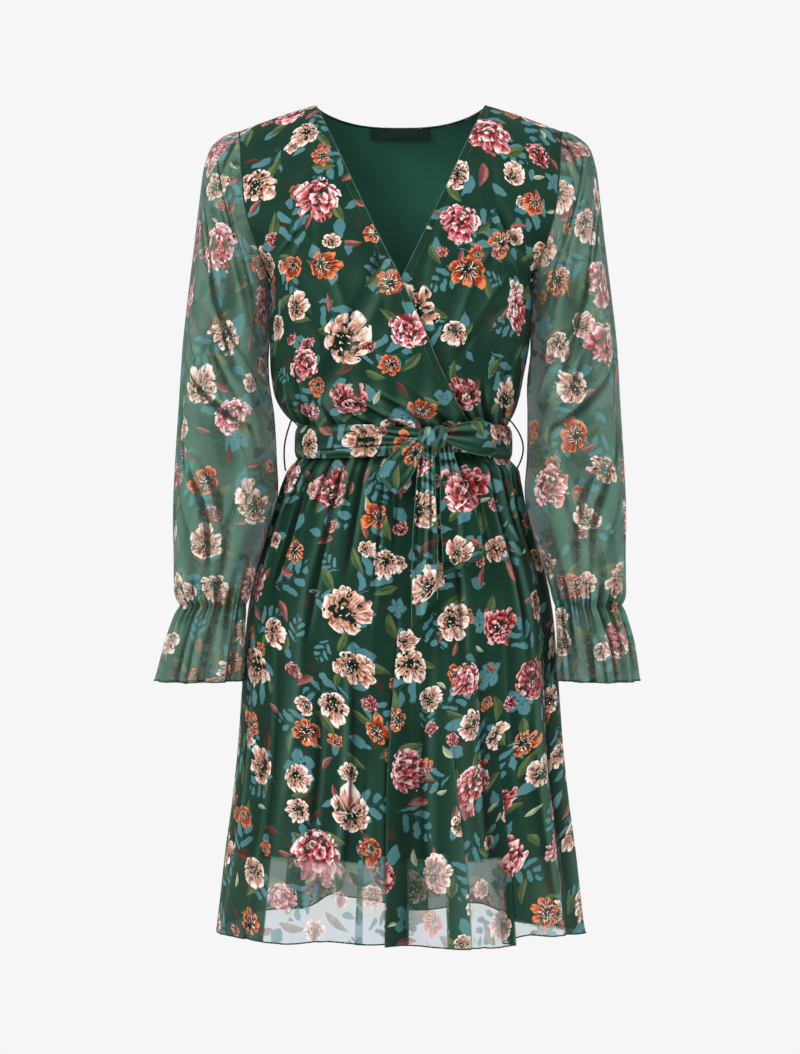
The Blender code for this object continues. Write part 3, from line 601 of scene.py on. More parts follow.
def chiffon():
    """The sheer printed cloth. veil is how much of what lies behind the plain cloth hides."""
    board = Board("printed_chiffon")
    flat, veil = board.attribute("flat"), board.attribute("veil", "Fac")
    painted_fold_shading = board.attribute("painted_fold_shading", "Fac")
    unlined = board.smooth(0.99, 0.90, veil)
    thin = board.smooth(0.42, 0.22, veil)
    drift = board.noise(flat, 14.0, 3.0)
    wash = board.noise(flat, 31.0, 1.0)
    grain = board.noise(flat, 1300.0, 1.0)

    colour = board.blend((drift * 2.2 - 0.6).cut(), GROUND_DARK, GROUND)
    colour = board.blend(board.smooth(0.64, 0.74, wash) * 0.4, colour, RUSTY_WASH)
    # Painted light from behind: paler where unlined, and in the sheer hem bluish near its edge.
    colour = board.blend(unlined * 0.30, colour, UNLINED)
    far_up = board.smooth(0.024, 0.034, board.attribute("hem", "Fac"))
    colour = board.blend(thin * 0.95, colour, board.blend(far_up, WINDOW_LOW, WINDOW))

    ink = silhouettes(board, "blue").cut()
    blue = board.blend((wash * 1.6 - 0.3).cut(), DEEP_BLUE, DUSTY_BLUE)
    # In the sheer hem the blue shapes and the motifs are painted paler by the same light.
    colour = board.blend(ink, colour, board.blend(thin * 0.5, blue, THIN_BLUE))
    for cover, hue in (leaves(board, "leaf"), blossom(board, "small"), blossom(board, "bloom")):
        ink = board.math("MAXIMUM", ink, cover)
        hue = board.blend(unlined * 0.05 + thin * 0.42, hue, THIN_MOTIF)
        colour = board.blend(cover, colour, hue)

    colour = board.blend((grain - 0.5) * 0.16, colour, GRAIN)
    # Painted shade in the fold hollows, and a painted highlight on the ridges.
    colour = board.blend(painted_fold_shading * 0.85, colour, board.blend(unlined, PAINTED_FOLD_SHADE, PAINTED_FOLD_SHADE_UNLINED))
    colour = board.blend(painted_fold_shading * -1 * (0.15 + unlined * 0.07), colour, PAINTED_RIDGE_HIGHLIGHT)
    board.bump(grain, 0.00010)
    alpha = veil + ink * (1 - veil) * (0.72 - thin * 0.17)
    return board.finish(base_color=colour, roughness=0.74, alpha=alpha, sheen_weight=0.02)


def lining():
    board = Board("lining")
    flat = board.attribute("flat")
    colour = board.blend(board.noise(flat, 9.0, 2.0), LINING_DARK, LINING)
    # Painted shade in the hollows of the lining's folds.
    colour = board.blend(board.attribute("painted_fold_shading", "Fac") * 0.6, colour, PAINTED_LINING_FOLD_SHADE)
    board.bump(board.noise(flat, 1500.0, 1.0), 0.00005)
    return board.finish(base_color=colour, roughness=0.55, sheen_weight=0.02)


def thread(name, colour):
    board = Board(name)
    twist = board.noise(board.add("ShaderNodeTexCoord", {}, "Object"), 900.0, 1.0)
    shade = board.blend((twist * 0.9).cut(), tuple(0.55 * c for c in colour[:3]) + (1.0,), colour)
    return board.finish(base_color=shade, roughness=0.7, sheen_weight=0.05)


def rolled_edge(name, dark, light):
    """Cloth rolled tightly and oversewn: small slanting stitches over a darker edge."""
    board = Board(name)
    place = board.add("ShaderNodeTexCoord", {}, "Object")
    x, y, z = board.parts(place)
    slant = board.math("SINE", (x + z * 0.6 + y * 0.3) * (2 * np.pi / 0.0022)) * 0.5 + 0.5
    patch = board.noise(place, 60.0, 2.0)
    shade = (slant * 0.5 + (patch - 0.35) * 1.2).cut()
    board.bump(slant, 0.0003)
    return board.finish(base_color=board.blend(shade, dark, light), roughness=0.7)


def label_tape():
    """Plain dark woven tape, with its fine ribs."""
    board = Board("label_tape")
    x, y, _ = board.places("flat")
    ribs = board.math("SINE", y * (2 * np.pi / 0.0009)) * 0.5 + 0.5
    fine = board.math("SINE", x * (2 * np.pi / 0.0007)) * 0.5 + 0.5
    board.bump(ribs * 0.7 + fine * 0.3, 0.00008)
    return board.finish(base_color=board.blend(ribs, TAPE, TAPE_RIBS), roughness=0.6)


# ----------------------------------------------------------------------------------------- print

# The larger blossoms of the front, charted one by one: kind, x, z and width, in centimetres.
CHART = {
    "bodice_front_right": (
        ("peach", -10.8, -4.5, 3.5), ("rust", -9.0, -7.3, 3.4), ("lily", -15.6, -10.5, 4.8),
        ("peony", -9.3, -12.3, 5.8), ("rust", -8.2, -19.5, 3.4), ("lily", -3.8, -19.8, 6.2),
        ("lily", -5.5, -27.7, 6.0), ("rust", -1.5, -30.7, 3.5), ("crimson", -5.4, -34.3, 5.0),
        ("peach", -13.8, -26.0, 3.0), ("peony", -10.0, -35.6, 3.4), ("rust", 2.4, -35.2, 3.4),
        ("peony", 1.2, -26.3, 5.6),
    ),
    "bodice_front_left": (
        ("peony", 9.8, -4.4, 5.0), ("peach", 12.6, -9.0, 3.4), ("rust", 14.7, -12.3, 3.5),
        ("peach", 7.7, -14.6, 2.8), ("rust", 7.4, -20.8, 4.2), ("peony", 3.0, -21.0, 4.8),
        ("peach", 13.0, -21.8, 2.8), ("peach", 5.9, -27.2, 3.0), ("crimson", 7.1, -33.2, 4.6),
        ("lily", 11.6, -33.4, 4.2),
    ),
    "skirt_front": (
        ("crimson", -9.2, -42.2, 5.4), ("rust", -3.8, -41.4, 3.4), ("rust", -2.8, -47.0, 3.4),
        ("peach", -12.8, -45.6, 3.2), ("rust", -14.2, -50.2, 3.4), ("peach", -9.4, -50.2, 3.4),
        ("peach", -1.6, -52.5, 3.0), ("lily", -5.5, -56.8, 6.2), ("crimson", -10.3, -57.8, 4.8),
        ("peach", -15.6, -59.8, 3.6), ("rust", -13.5, -61.8, 3.7), ("rust", -1.5, -56.8, 3.2),
        ("peony", -2.3, -62.0, 4.2), ("rust", -10.7, -70.9, 3.8), ("lily", -15.8, -74.6, 4.0),
        ("peach", -11.5, -79.4, 2.8), ("rust", -2.3, -70.4, 3.4), ("peony", -9.1, -84.3, 6.0),
        ("peach", -5.4, -78.6, 5.0), ("peach", -16.2, -86.4, 3.6), ("rust", -16.6, -91.5, 3.5),
        ("rust", -3.4, -83.3, 3.0), ("peach", -3.2, -88.3, 2.8), ("peach", -9.4, -91.8, 2.8),
        ("peach", 4.0, -85.8, 3.7), ("peony", 10.6, -85.5, 6.0), ("rust", 14.6, -83.8, 4.0),
        ("peony", 18.2, -83.4, 3.4), ("rust", 15.6, -90.4, 3.7), ("peach", 10.6, -91.9, 3.4),
        ("rust", 3.3, -91.0, 2.8), ("peony", 1.3, -74.7, 4.8), ("rust", 4.7, -74.2, 3.2),
        ("peach", 3.5, -66.7, 2.7), ("peach", 6.3, -80.2, 2.7), ("peach", 10.4, -71.2, 3.0),
        ("crimson", 11.1, -58.4, 4.6), ("peach", 6.1, -58.5, 3.9), ("lily", 14.4, -58.8, 5.0),
        ("rust", 8.2, -61.7, 3.6), ("crimson", 16.4, -64.2, 4.8), ("peach", 3.1, -53.8, 4.0),
        ("lily", 11.6, -50.5, 3.4), ("crimson", 11.6, -43.0, 5.4), ("rust", 14.0, -71.7, 3.4),
        ("peach", 16.2, -74.8, 4.2),
    ),
    "sleeve_right": (
        ("peach", -20.9, -9.6, 3.4), ("peony", -19.8, -17.1, 5.4), ("lily", -20.0, -26.9, 4.2),
        ("rust", -15.7, -25.0, 2.6), ("peach", -22.2, -32.2, 4.2), ("peony", -18.6, -36.0, 4.8),
        ("rust", -22.1, -37.4, 3.6), ("rust", -22.2, -43.1, 3.7), ("lily", -16.1, -45.4, 4.8),
        ("peach", -21.5, -49.7, 3.8), ("rust", -21.5, -53.1, 3.6), ("peony", -23.3, -56.7, 3.2),
        ("rust", -18.8, -63.4, 2.8),
    ),
    "sleeve_left": (
        ("peach", 21.0, -14.7, 3.9), ("rust", 17.3, -21.0, 4.0), ("peach", 20.6, -25.6, 2.8),
        ("peony", 22.8, -27.8, 5.0), ("peach", 19.0, -32.4, 3.8), ("rust", 18.9, -37.8, 4.0),
        ("peony", 16.8, -43.9, 4.8), ("peach", 20.7, -46.8, 4.0), ("rust", 23.5, -47.9, 3.2),
        ("peach", 20.7, -54.7, 2.8), ("peony", 21.7, -62.6, 4.8), ("rust", 24.5, -60.1, 2.9),
    ),
}
# What is scattered over every sheet: how many to a square metre are tried, and their sizes.
SCATTER = {
    # layer: kind, half length in millimetres, tries a square metre
    "bloom": (
        ("peony", 22, 31, 90), ("lily", 21, 31, 260), ("crimson", 19, 27, 80),
        ("peach", 15, 23, 320), ("rust", 15, 20, 400),
    ),
    "small": (("peach", 9, 14, 110), ("rust", 9, 13, 130), ("crimson", 8, 12, 90)),
    "leaf": (
        ("olive", 12, 20, 620), ("rose", 9, 17, 700), ("brown", 10, 18, 400), ("pale", 6, 11, 600),
    ),
    "blue": (
        ("head", 19, 30, 260), ("sprig", 18, 28, 240), ("head", 12, 18, 180),
        ("sprig", 13, 19, 400), ("leaf", 8, 15, 3600),
    ),
}
# What peeps out from behind each blossom: kind and half length in millimetres.
POSIES = {
    "leaf": (("olive", 12, 19), ("rose", 8, 12)),
    "blue": (("sprig", 19, 30), ("head", 17, 26), ("leaf", 11, 19), ("leaf", 11, 19)),
}
SLIM = {"leaf": 0.62, "olive": 0.62, "rose": 0.55, "brown": 0.50, "pale": 0.60, "sprig": 0.95}
HEARTS = {"peony": 0.10, "crimson": 0.20, "rust": 0.29, "peach": 0.32, "lily": 0.34}
PETALS = {"peony": 9, "crimson": 8, "rust": 6, "peach": 6, "lily": 7}
BLUES = ("leaf", "head", "sprig")


def cavity(points, outward, reach, depth):
    """How deep each point lies in a fold's hollow, from -1 on a ridge to 1 in a deep one."""
    across, down = np.gradient(points, axis=1), np.gradient(points, axis=0)
    normal = faced(unit(np.cross(across, down)), outward)
    total = np.zeros(points.shape[:2])
    for axis, steps in ((1, across), (0, down)):
        hop = max(1, int(round(reach / np.median(np.linalg.norm(steps, axis=-1)))))
        padded = np.pad(points, [(hop, hop) if k == axis else (0, 0) for k in range(3)], "edge")
        place = np.arange(points.shape[axis])
        both = np.take(padded, place, axis=axis) + np.take(padded, place + 2 * hop, axis=axis)
        kept = ((place >= hop) & (place < len(place) - hop)).astype(float)
        rise = ((both / 2 - points) * normal).sum(axis=-1)
        total += rise * (kept if axis else kept[:, None])
    deep = np.clip(total / depth, -1, 1)
    return np.sign(deep) * np.abs(deep) ** 1.3


def add_object(name, data):
    made = bpy.data.objects.new(name, data)
    bpy.context.scene.collection.objects.link(made)
    return made


def add_piece(name, points, faces, material, node=None):
    """A piece of the visual model, on the part's only body. It can stand for a node of the part."""
    mesh = bpy.data.meshes.new(name)
    mesh.from_pydata(points.tolist(), [], faces.tolist())
    mesh.materials.append(material)
    mesh.shade_smooth()
    piece = add_object(name, mesh)
    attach(piece, "root")
    if node:
        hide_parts(node)
    return piece


def set_attribute(mesh, name, domain, values):
    """Keeps a number, or three numbers, at every point or corner of the mesh."""
    kind, field = ("FLOAT_VECTOR", "vector") if values.shape[-1] == 3 else ("FLOAT", "value")
    mesh.attributes.new(name, kind, domain).data.foreach_set(field, values.ravel())


class Sheet:
    """A mesh of cloth in the making, with its place on the flat cloth at every point."""

    def __init__(self, name, points, flat, veil=1.0, outward=None, folds=(0.006, 0.0022), dark=0.0):
        self.name, self.points, self.flat = name, points.reshape(-1, 3), flat.reshape(-1, 2)
        outward = from_axis(points) if outward is None else outward
        # Painted shade in hollows, painted highlight on ridges, and the extra painted shade dark.
        fine = cavity(points, outward, folds[0] * 0.4, folds[1] * 0.4)
        painted_fold_shading = cavity(points, outward, *folds) + 0.5 * fine + dark
        self.traits = {
            "veil": np.broadcast_to(np.asarray(veil, float), points.shape[:2]),
            "painted_fold_shading": np.clip(painted_fold_shading, -1, 1),
            "hem": flat[..., 1] - flat[..., 1].min(axis=0, keepdims=True),
        }
        rows, columns = points.shape[:2]
        i, j = np.meshgrid(np.arange(rows - 1), np.arange(columns - 1), indexing="ij")
        corner = (i * columns + j).reshape(-1, 1)
        self.faces = corner + np.array((0, columns, columns + 1, 1))

    def made(self, material, node, slot="printed_chiffon"):
        made = add_piece(self.name, self.points, self.faces, material, node)
        set_attribute(made.data, "flat", "POINT", np.pad(self.flat, ((0, 0), (0, 1))))
        for name, values in self.traits.items():
            set_attribute(made.data, name, "POINT", values.reshape(-1, 1))
        return made

    def area(self):
        a, b, c, d = (self.points[self.faces[:, k]] for k in range(4))
        return 0.5 * np.linalg.norm(np.cross(c - a, d - b), axis=1).sum()


def declare(made, sheet):
    """Works out a cut's widest and longest on the flat cloth and its area, and keeps none of it."""
    width, length = np.ptp(sheet.flat, axis=0)
    area = min(sheet.area(), width * length)


class Printer:
    """Lays the motifs of one sheet, a layer at a time, so that none in a layer share a face."""

    def __init__(self, sheet, seed):
        self.corners = sheet.flat[sheet.faces]
        self.centres = self.corners.mean(axis=1)
        self.order = np.argsort(self.centres[:, 0])
        self.sorted_s = self.centres[self.order, 0]
        self.margin = 0.75 * np.linalg.norm(np.ptp(self.corners, axis=1), axis=1).mean()
        self.rng = np.random.default_rng(seed)
        self.area = sheet.area()
        self.layers, self.blooms = {}, []
        for layer in SCATTER:
            place = np.full((len(sheet.faces), 4, 3), NO_MOTIF)
            self.layers[layer] = (place, np.zeros_like(place), np.ones(len(place), bool))

    def any_way(self):
        turn = self.rng.uniform(0, 2 * np.pi)
        return np.array((np.cos(turn), np.sin(turn)))

    def lay(self, layer, kind, centre, radius):
        place, style, free = self.layers[layer]
        ahead = self.any_way()
        reach = radius + self.margin
        left, right = np.searchsorted(self.sorted_s, (centre[0] - reach, centre[0] + reach))
        near = self.order[left:right]
        near = near[np.abs(self.centres[near, 1] - centre[1]) < reach]
        across = np.array((-ahead[1], ahead[0]))
        local = (self.corners[near] - centre) @ np.stack([ahead, across], axis=-1) / radius
        x, y = local.mean(axis=1).T
        spare = self.margin / radius
        inside = (np.abs(y) < SLIM.get(kind, 1.0) + spare) & (np.hypot(x, y) < 1 + spare)
        near, local = near[inside], local[inside]
        if not len(near) or not free[near].all():
            return False
        free[near] = False
        if layer == "bloom":
            self.blooms.append((centre, radius))
        place[near, :, :2] = local
        place[near, :, 2] = self.rng.uniform(1, 9)
        style[near] = self.style(layer, kind)
        return True

    def style(self, layer, kind):
        vary = self.rng.uniform(-1, 1)
        if layer == "blue":
            return BLUES.index(kind), 0.50 + 0.08 * vary, 0.0
        if layer == "leaf":
            return list(LEAVES).index(kind), 0.34 + 0.06 * vary, 0.0
        heart = HEARTS[kind] * (1 + 0.2 * vary)
        return list(BLOSSOMS).index(kind), PETALS[kind] + round(vary), heart

    def scatter(self):
        for layer, kinds in SCATTER.items():
            for kind, low, high in POSIES.get(layer, ()):
                for centre, radius in self.blooms:
                    way = self.any_way()
                    away = radius * self.rng.uniform(0.75, 1.10)
                    size = self.rng.uniform(low, high) / 1000
                    self.lay(layer, kind, centre + away * way, size)
            for kind, low, high, tries in kinds:
                for centre in self.rng.integers(len(self.centres), size=int(tries * self.area)):
                    size = self.rng.uniform(low, high) / 1000
                    self.lay(layer, kind, self.centres[centre], size)

    def keep(self, mesh):
        for layer, (place, style, _) in self.layers.items():
            set_attribute(mesh, layer, "CORNER", place)
            set_attribute(mesh, layer + "_style", "CORNER", style)


def printed(sheet, material, node, seed, chart=()):
    """The finished sheet, with its charted blossoms and the scattered rest."""
    printer = Printer(sheet, seed)
    front = sheet.points[:, 1] < np.median(sheet.points[:, 1]) + FRONT_DEPTH
    for kind, x, z, width in chart:
        away = np.hypot(sheet.points[:, 0] - x / 100, sheet.points[:, 2] - z / 100)
        at = np.argmin(np.where(front, away, np.inf))
        layer = "blue" if kind in BLUES else "bloom" if width >= SMALL_BLOSSOM else "small"
        for share in SMALLER:
            if printer.lay(layer, kind, sheet.flat[at], share * width * PETAL_REACH / 200):
                break
    printer.scatter()
    made = sheet.made(material, node)
    printer.keep(made.data)
    return made


def tube(points, radius, sides=6):
    """The points and faces of a tube along points, with open ends."""
    ahead = unit(np.gradient(points, axis=0))
    side = unit(np.cross(ahead, (0.001, 0.002, 1.0)))
    top = np.cross(side, ahead)
    turn = 2 * np.pi * np.arange(sides)[None, :, None] / sides
    ring = side[:, None] * np.cos(turn) + top[:, None] * np.sin(turn)
    grid = points[:, None] + ring * np.broadcast_to(radius, (len(points),))[:, None, None]
    i, j = np.meshgrid(np.arange(len(points) - 1), np.arange(sides), indexing="ij")
    here, after = i * sides + j, i * sides + (j + 1) % sides
    faces = np.stack([here, after, after + sides, here + sides])
    return grid.reshape(-1, 3), faces.reshape(4, -1).T


def add_tubes(name, tubes, material, node=None):
    """One piece from several tubes."""
    firsts = np.cumsum([0] + [len(points) for points, _ in tubes])
    points = np.concatenate([points for points, _ in tubes])
    faces = np.concatenate([faces + first for (_, faces), first in zip(tubes, firsts)])
    return add_piece(name, points, faces, material, node)


def add_roll(name, lines, radius, material):
    """A thin rolled or overlocked edge along some lines of points."""
    tubes = []
    for line in lines:
        length = path_length(line, 0)[-1]
        even = np.linspace(0, length, max(8, int(length / ROLL_STEP)))
        uneven = radius * (1 + 0.14 * ripples(even, len(name), 60, 240))
        tubes.append(tube(on_line(line, even), uneven))
    return add_tubes(name, tubes, material)


def add_stitches(name, line, material):
    """A row of small straight stitches along a line of points."""
    starts = np.arange(STITCH, path_length(line, 0)[-1] - STITCH, STITCH * 1.5)
    lines = (on_line(line, start + np.linspace(0, STITCH, 3)) for start in starts)
    return add_tubes(name, [tube(points, THREAD, 5) for points in lines], material)


# ---------------------------------------------------------------------------------------- bodice


def shoulder_z(x):
    out = np.maximum(np.abs(x) - NECK_HALF, 0.0)
    return -(0.28 * out + 0.75 * out * out)


def bodice_point(side, angle, height):
    """The bodice as the part has it. side is -1 in front, and the height runs from 0 to 1."""
    half_width, square, shift = BODICE.at(height, "half_width", "squareness", "shift")
    depth = BODICE.at(height, "front" if side < 0 else "back")
    x, out = oval(angle, half_width, depth, square)
    z = WAIST + SEAM + (shoulder_z(x) - WAIST - SEAM) * height
    near_top = np.clip((1 - height) * -WAIST / SHOULDER_ROUND, 0, 1)
    turn = np.sqrt(np.maximum(1 - (1 - near_top) ** 2, 0))
    return stack(x + shift, side * (SEAM / 2 + out * turn), z)


def angle_of(x, height):
    """The angle round the bodice at which x is reached."""
    half_width, square = BODICE.at(height, "half_width", "squareness")
    return np.sign(x) * np.arcsin(np.clip(np.abs(x) / half_width, 0, 1) ** (square / 2))


def side_angle(height):
    return np.where(height <= UNDERARM, np.pi / 2, angle_of(ARMHOLE.at(height, "x"), height))


def wrap_x(height, wearer_side):
    return -wearer_side * WRAP_EDGE.at(height, "x")


def front_angle(wearer_side):
    def angle(u, v):
        outer = wearer_side * side_angle(v)
        return outer + (angle_of(wrap_x(v, wearer_side), v) - outer) * u

    return angle


def back_angle(u, v):
    return side_angle(v) * (2 * u - 1)


def front_height(angle, v):
    return v


def back_height(angle, v):
    x = bodice_point(1, angle, v)[..., 0]
    share = np.clip(np.abs(x) / NECK_HALF, 0, 1)
    return v * (1 - BACK_NECK_DROP * (1 - share**2.7) / -WAIST)


def over_the_left_front(points, v, air, later=0.0):
    """The right front rides over the left one and its lining where the two overlap."""
    edge = wrap_x(v, 1) + later
    high = 2 * LAYER + air * (0.5 + 0.5 * smoothstep(0.0, 0.12, v))
    lapping = smoothstep(edge - 0.040, edge - 0.012, points[..., 0])
    return high * lapping * smoothstep(0.60, 0.49, v)


def bodice_rows(pitch):
    start = 1 - SHOULDER_ROUND / -WAIST
    low = np.linspace(0, start, int(start * -WAIST / pitch))
    turn = np.sin(np.linspace(0, np.pi / 2, int(0.14 / pitch)))
    return np.concatenate([low[:-1], start + (1 - start) * turn])


# Folds of the bodice: s and t of both ends, bow, width and height, all in millimetres. s goes to
# the wearer's left from the centre, and t up from the waist.
RIGHT_FRONT_CREASES = (
    (60, 2, 10, 80, 6, 5, -2.4), (48, 2, -4, 66, 5, 5, 2.0), (36, 2, -24, 74, 6, 4.5, -2.6),
    (20, 2, -40, 60, 6, 5, 2.2), (6, 2, -54, 66, 6, 4.5, -2.6), (-12, 2, -62, 52, 5, 5, 2.0),
    (-30, 2, -72, 60, 5, 4.5, -2.4), (-52, 2, -78, 48, 4, 5, 2.0), (-72, 2, -88, 62, 3, 5, -2.4),
    (-96, 2, -104, 56, 2, 6, 2.0), (-118, 6, -130, 120, 5, 7, -2.4),
    (-150, 20, -146, 110, 3, 8, 1.8), (-58, 140, -118, 262, 9, 11, 2.2),
    (-86, 128, -136, 214, 7, 8, -2.4), (-70, 110, -128, 176, 6, 7, -2.0),
    (-112, 262, -146, 208, -6, 8, 2.0), (-106, 280, -146, 236, -5, 6, -1.8),
    (-100, 330, -96, 190, 5, 10, -2.0), (-20, 150, -74, 330, 12, 10, -1.6),
)
LEFT_FRONT_CREASES = (
    (70, 2, 40, 96, -5, 6, 2.2), (82, 2, 60, 84, -4, 5, -2.4), (94, 2, 80, 70, -4, 5, 2.0),
    (108, 2, 98, 80, -3, 5, -2.4), (124, 2, 122, 60, -3, 6, 2.0), (138, 4, 140, 110, -4, 7, -2.4),
    (56, 120, 116, 250, -9, 10, 2.2), (84, 120, 138, 206, -6, 8, -2.4),
    (66, 104, 126, 170, -6, 7, -2.0), (108, 268, 146, 204, 6, 8, 2.0),
    (104, 284, 146, 234, 5, 6, -1.8), (98, 330, 96, 190, -5, 10, -1.9),
    (16, 160, 72, 330, -12, 10, -1.6),
)
BACK_CREASES = (
    (-92, 2, -84, 110, 4, 8, 1.6), (-60, 2, -66, 70, 3, 7, -1.5), (-28, 2, -30, 90, 3, 7, 1.5),
    (8, 2, 4, 66, 3, 7, -1.5), (44, 2, 40, 96, -3, 7, 1.5), (74, 2, 82, 84, -4, 8, -1.6),
    (108, 4, 96, 120, -4, 9, 1.5), (-120, 170, -60, 250, 9, 12, 1.6),
    (124, 166, 62, 246, -9, 12, 1.6), (-140, 230, -110, 320, 6, 10, -1.4),
    (138, 236, 108, 320, -6, 10, -1.4),
)


def bodice_grid(side, angle_at, height_at, pitch):
    """A bodice panel: heights, points, their normals, and their places on the flat cloth."""
    u, v = np.meshgrid(np.linspace(0, 1, int(PANEL_WIDTH[side] / pitch)), bodice_rows(pitch))

    def surface(u, v):
        angle = angle_at(u, v)
        return bodice_point(side, angle, height_at(angle, v))

    points = surface(u, v)
    normal = normals(surface, u, v, from_axis)
    fan = np.linspace(-np.pi / 2, np.pi / 2, 2 * HALF_FAN + 1)
    arc = path_length(bodice_point(side, fan[None], v[:, :1]), 1)
    arc = arc - arc[:, HALF_FAN, None]
    s = np.stack([np.interp(row, fan, lengths) for row, lengths in zip(angle_at(u, v), arc)])
    middle = path_length(points, 0)[:, points.shape[1] // 2]
    return v, points, normal, stack(s, middle[:, None])


def facing_line(points, normal):
    """The line on a front that runs along its wrapped edge, a little way in."""
    across = path_length(points, 1)
    inwards = across[:, -1:] - across
    at = np.argmin(np.abs(inwards - FACING), axis=1)
    rows = np.arange(len(points))
    beyond = np.where(inwards[rows, at] > FACING, 1, -1)
    other = np.clip(at + beyond, 0, points.shape[1] - 1)
    gap = inwards[rows, at] - inwards[rows, other]
    share = ((inwards[rows, at] - FACING) / np.where(gap == 0, 1, gap))[:, None]
    line = points[rows, at] * (1 - share) + points[rows, other] * share
    return (line + normal[rows, at] * THREAD)[6:-4]


def bodice_lift(s, t, v, table, seed):
    """How far the gathers at the waist and the folds rise, none of them as deep as the lining."""
    short = ripples(s, seed, 48, 90) * 0.0007 * np.exp(-t / 0.022)
    gather = short * smoothstep(0, 0.012, t + 0.004)
    gather = gather + ripples(s, seed + 40, 22, 40) * 0.0009 * np.exp(-t / 0.06)
    settle = ripples(s + 0.3 * t, seed + 70, 6, 14) * 0.0006
    settle = settle + ripples(t, seed + 90, 5, 12) * 0.0004
    inside = smoothstep(0.0, 0.012, t) * smoothstep(1.0, 0.93, v)
    lift = creases(s, t, table) * inside + gather + settle * inside
    return np.where(lift < 0, -FOLD_ROOM * np.tanh(-lift / FOLD_ROOM), lift)


def add_bodice_panel(panel, table, seed, cloth, edge, seam):
    word, side, angle_at, height_at, wearer_side = panel
    node = f"bodice_{word}"
    v, points, normal, flat = bodice_grid(side, angle_at, height_at, PITCH)
    lift = bodice_lift(flat[..., 0], flat[..., 1], v, table, seed)
    if wearer_side < 0:
        lift = lift + over_the_left_front(points, v, OVERLAP_AIR)
    if wearer_side > 0:
        covered = smoothstep(0.010, -0.004, points[..., 0] - WRAP_EDGE.at(v, "x"))
        lift = lift * (1 - 0.85 * covered)
    shown = points + normal * lift[..., None]
    sheet = Sheet(node + "_cloth", shown, flat)
    made = printed(sheet, cloth, node, seed, CHART.get(node, ()))
    shoulder = shown[-1] - (0, 0, 0.0004)
    if wearer_side:
        wrapped = shown[:, -1] - normal[:, -1] * 0.0003
        stitches = facing_line(shown, normal)
        pieces = [
            add_roll(node + "_edge", [wrapped], EDGE_ROLL, edge),
            add_roll(node + "_seams", [shoulder, shown[:, 0]], SEAM_ROLL, seam),
            add_stitches(node + "_stitches", stitches, edge),
        ]
    else:
        neck = shoulder[np.abs(shoulder[:, 0]) <= NECK_HALF + 0.001]
        pieces = [add_roll(node + "_edge", [neck], EDGE_ROLL, edge)]
    declare(made, sheet)


def add_bodice_lining(panel, plain):
    word, side, angle_at, height_at, wearer_side = panel
    v, points, normal, flat = bodice_grid(side, angle_at, height_at, LINING_PITCH)
    lift = -LAYER - (0.0008 + 0.0006 * smoothstep(0.38, 0.52, v))
    if wearer_side < 0:
        lift = lift + over_the_left_front(points, v, OVERLAP_AIR - 0.0012, 0.006)
    soft = ripples(flat[..., 0], 5, 8, 20) * 0.0005 * smoothstep(0.0, 0.1, flat[..., 1])
    lift = lift - np.abs(soft)
    sheet = Sheet(f"lining_{word}_cloth", points + normal * lift[..., None], flat)
    declare(sheet.made(plain, f"lining_{word}", "lining"), sheet)


def add_bodice(cloth, plain, edge, seam):
    panels = (
        ("front_right", -1, front_angle(-1), front_height, -1),
        ("front_left", -1, front_angle(1), front_height, 1),
        ("back", 1, back_angle, back_height, 0),
    )
    tables = (RIGHT_FRONT_CREASES, LEFT_FRONT_CREASES, BACK_CREASES)
    for seed, (panel, table) in enumerate(zip(panels, tables), 11):
        add_bodice_panel(panel, table, seed, cloth, edge, seam)
    for panel in panels:
        add_bodice_lining(panel, plain)


# ----------------------------------------------------------------------------------------- skirt

# Where the hanging cloth doubles back on itself in a flat fold: the angle of its middle, its half
# width in degrees, how high it begins, and how full it is: below zero where it opens to the left.
FOLD_OVERS = {
    -1: (
        (-53.5, 9.0, -0.80, 0.85), (-11.8, 2.3, -0.66, 0.9), (-1.0, 5.8, -0.50, -1.0),
        (17.0, 5.0, -0.62, 1.0), (36.0, 4.2, -0.60, 1.0),
    ),
    1: ((-38.0, 5.5, -0.60, 1.0), (6.0, 5.5, -0.58, 1.0), (44.0, 6.0, -0.66, 1.0)),
}
DOUBLING = 1.42  # how far a flat fold reaches sideways, in its half widths
FOLD_DEPTH = 0.0042
SKIRT_RADIUS = 0.125  # what the places round the skirt's flat cloth are reckoned with
# The gathers at the waist: height, waves a metre at least and at most, how far down they reach.
SKIRT_GATHERS = (
    (0.0011, 60, 105, 0.030), (0.0019, 34, 58, 0.085), (0.0022, 14, 26, 0.22),
)


def hem_z(side, angle):
    return HEM.at(np.degrees(angle), "front" if side < 0 else "back")


def fold_over(side, angle, z):
    """The sideways turn of the flat folds, and their reach outwards."""
    turned, outward = np.zeros_like(angle * z), np.zeros_like(angle * z)
    for middle, half, top, full in FOLD_OVERS[side]:
        tau = np.clip((np.degrees(angle) - middle) / half, -1, 1)
        grown = smoothstep(top, top - 0.28, z) * abs(full)
        swing = -np.sin(np.pi * tau) * (1 - tau * tau) ** 2 * grown
        turned += np.radians(DOUBLING * half) * swing
        outward += FOLD_DEPTH * swing * np.sign(full)
    return turned, outward


def skirt_point(side, angle, z, inset=0.0, folded=1.0, extra=0.0):
    """The skirt as the part has it, inset, with a share of its folds and pushed out by extra."""
    half_width, fold, shift = SKIRT.at(z, "half_width", "fold", "shift")
    depth = SKIRT.at(z, "front" if side < 0 else "back")
    x, out = oval(angle, half_width - inset, depth - inset, 2.0)
    reach = np.zeros_like(angle * z)
    for centre, half, share in FRONT_FOLDS if side < 0 else BACK_FOLDS:
        away = (np.degrees(angle) - centre) / half
        reach = reach + share * np.exp(-away * away)
    pushed = fold * reach * folded + extra
    away = unit(stack(x / half_width**2, out / depth**2))
    x = x + away[..., 0] * pushed + shift
    return stack(x, side * (SEAM / 2 + np.maximum(out + away[..., 1] * pushed, 0)), z)
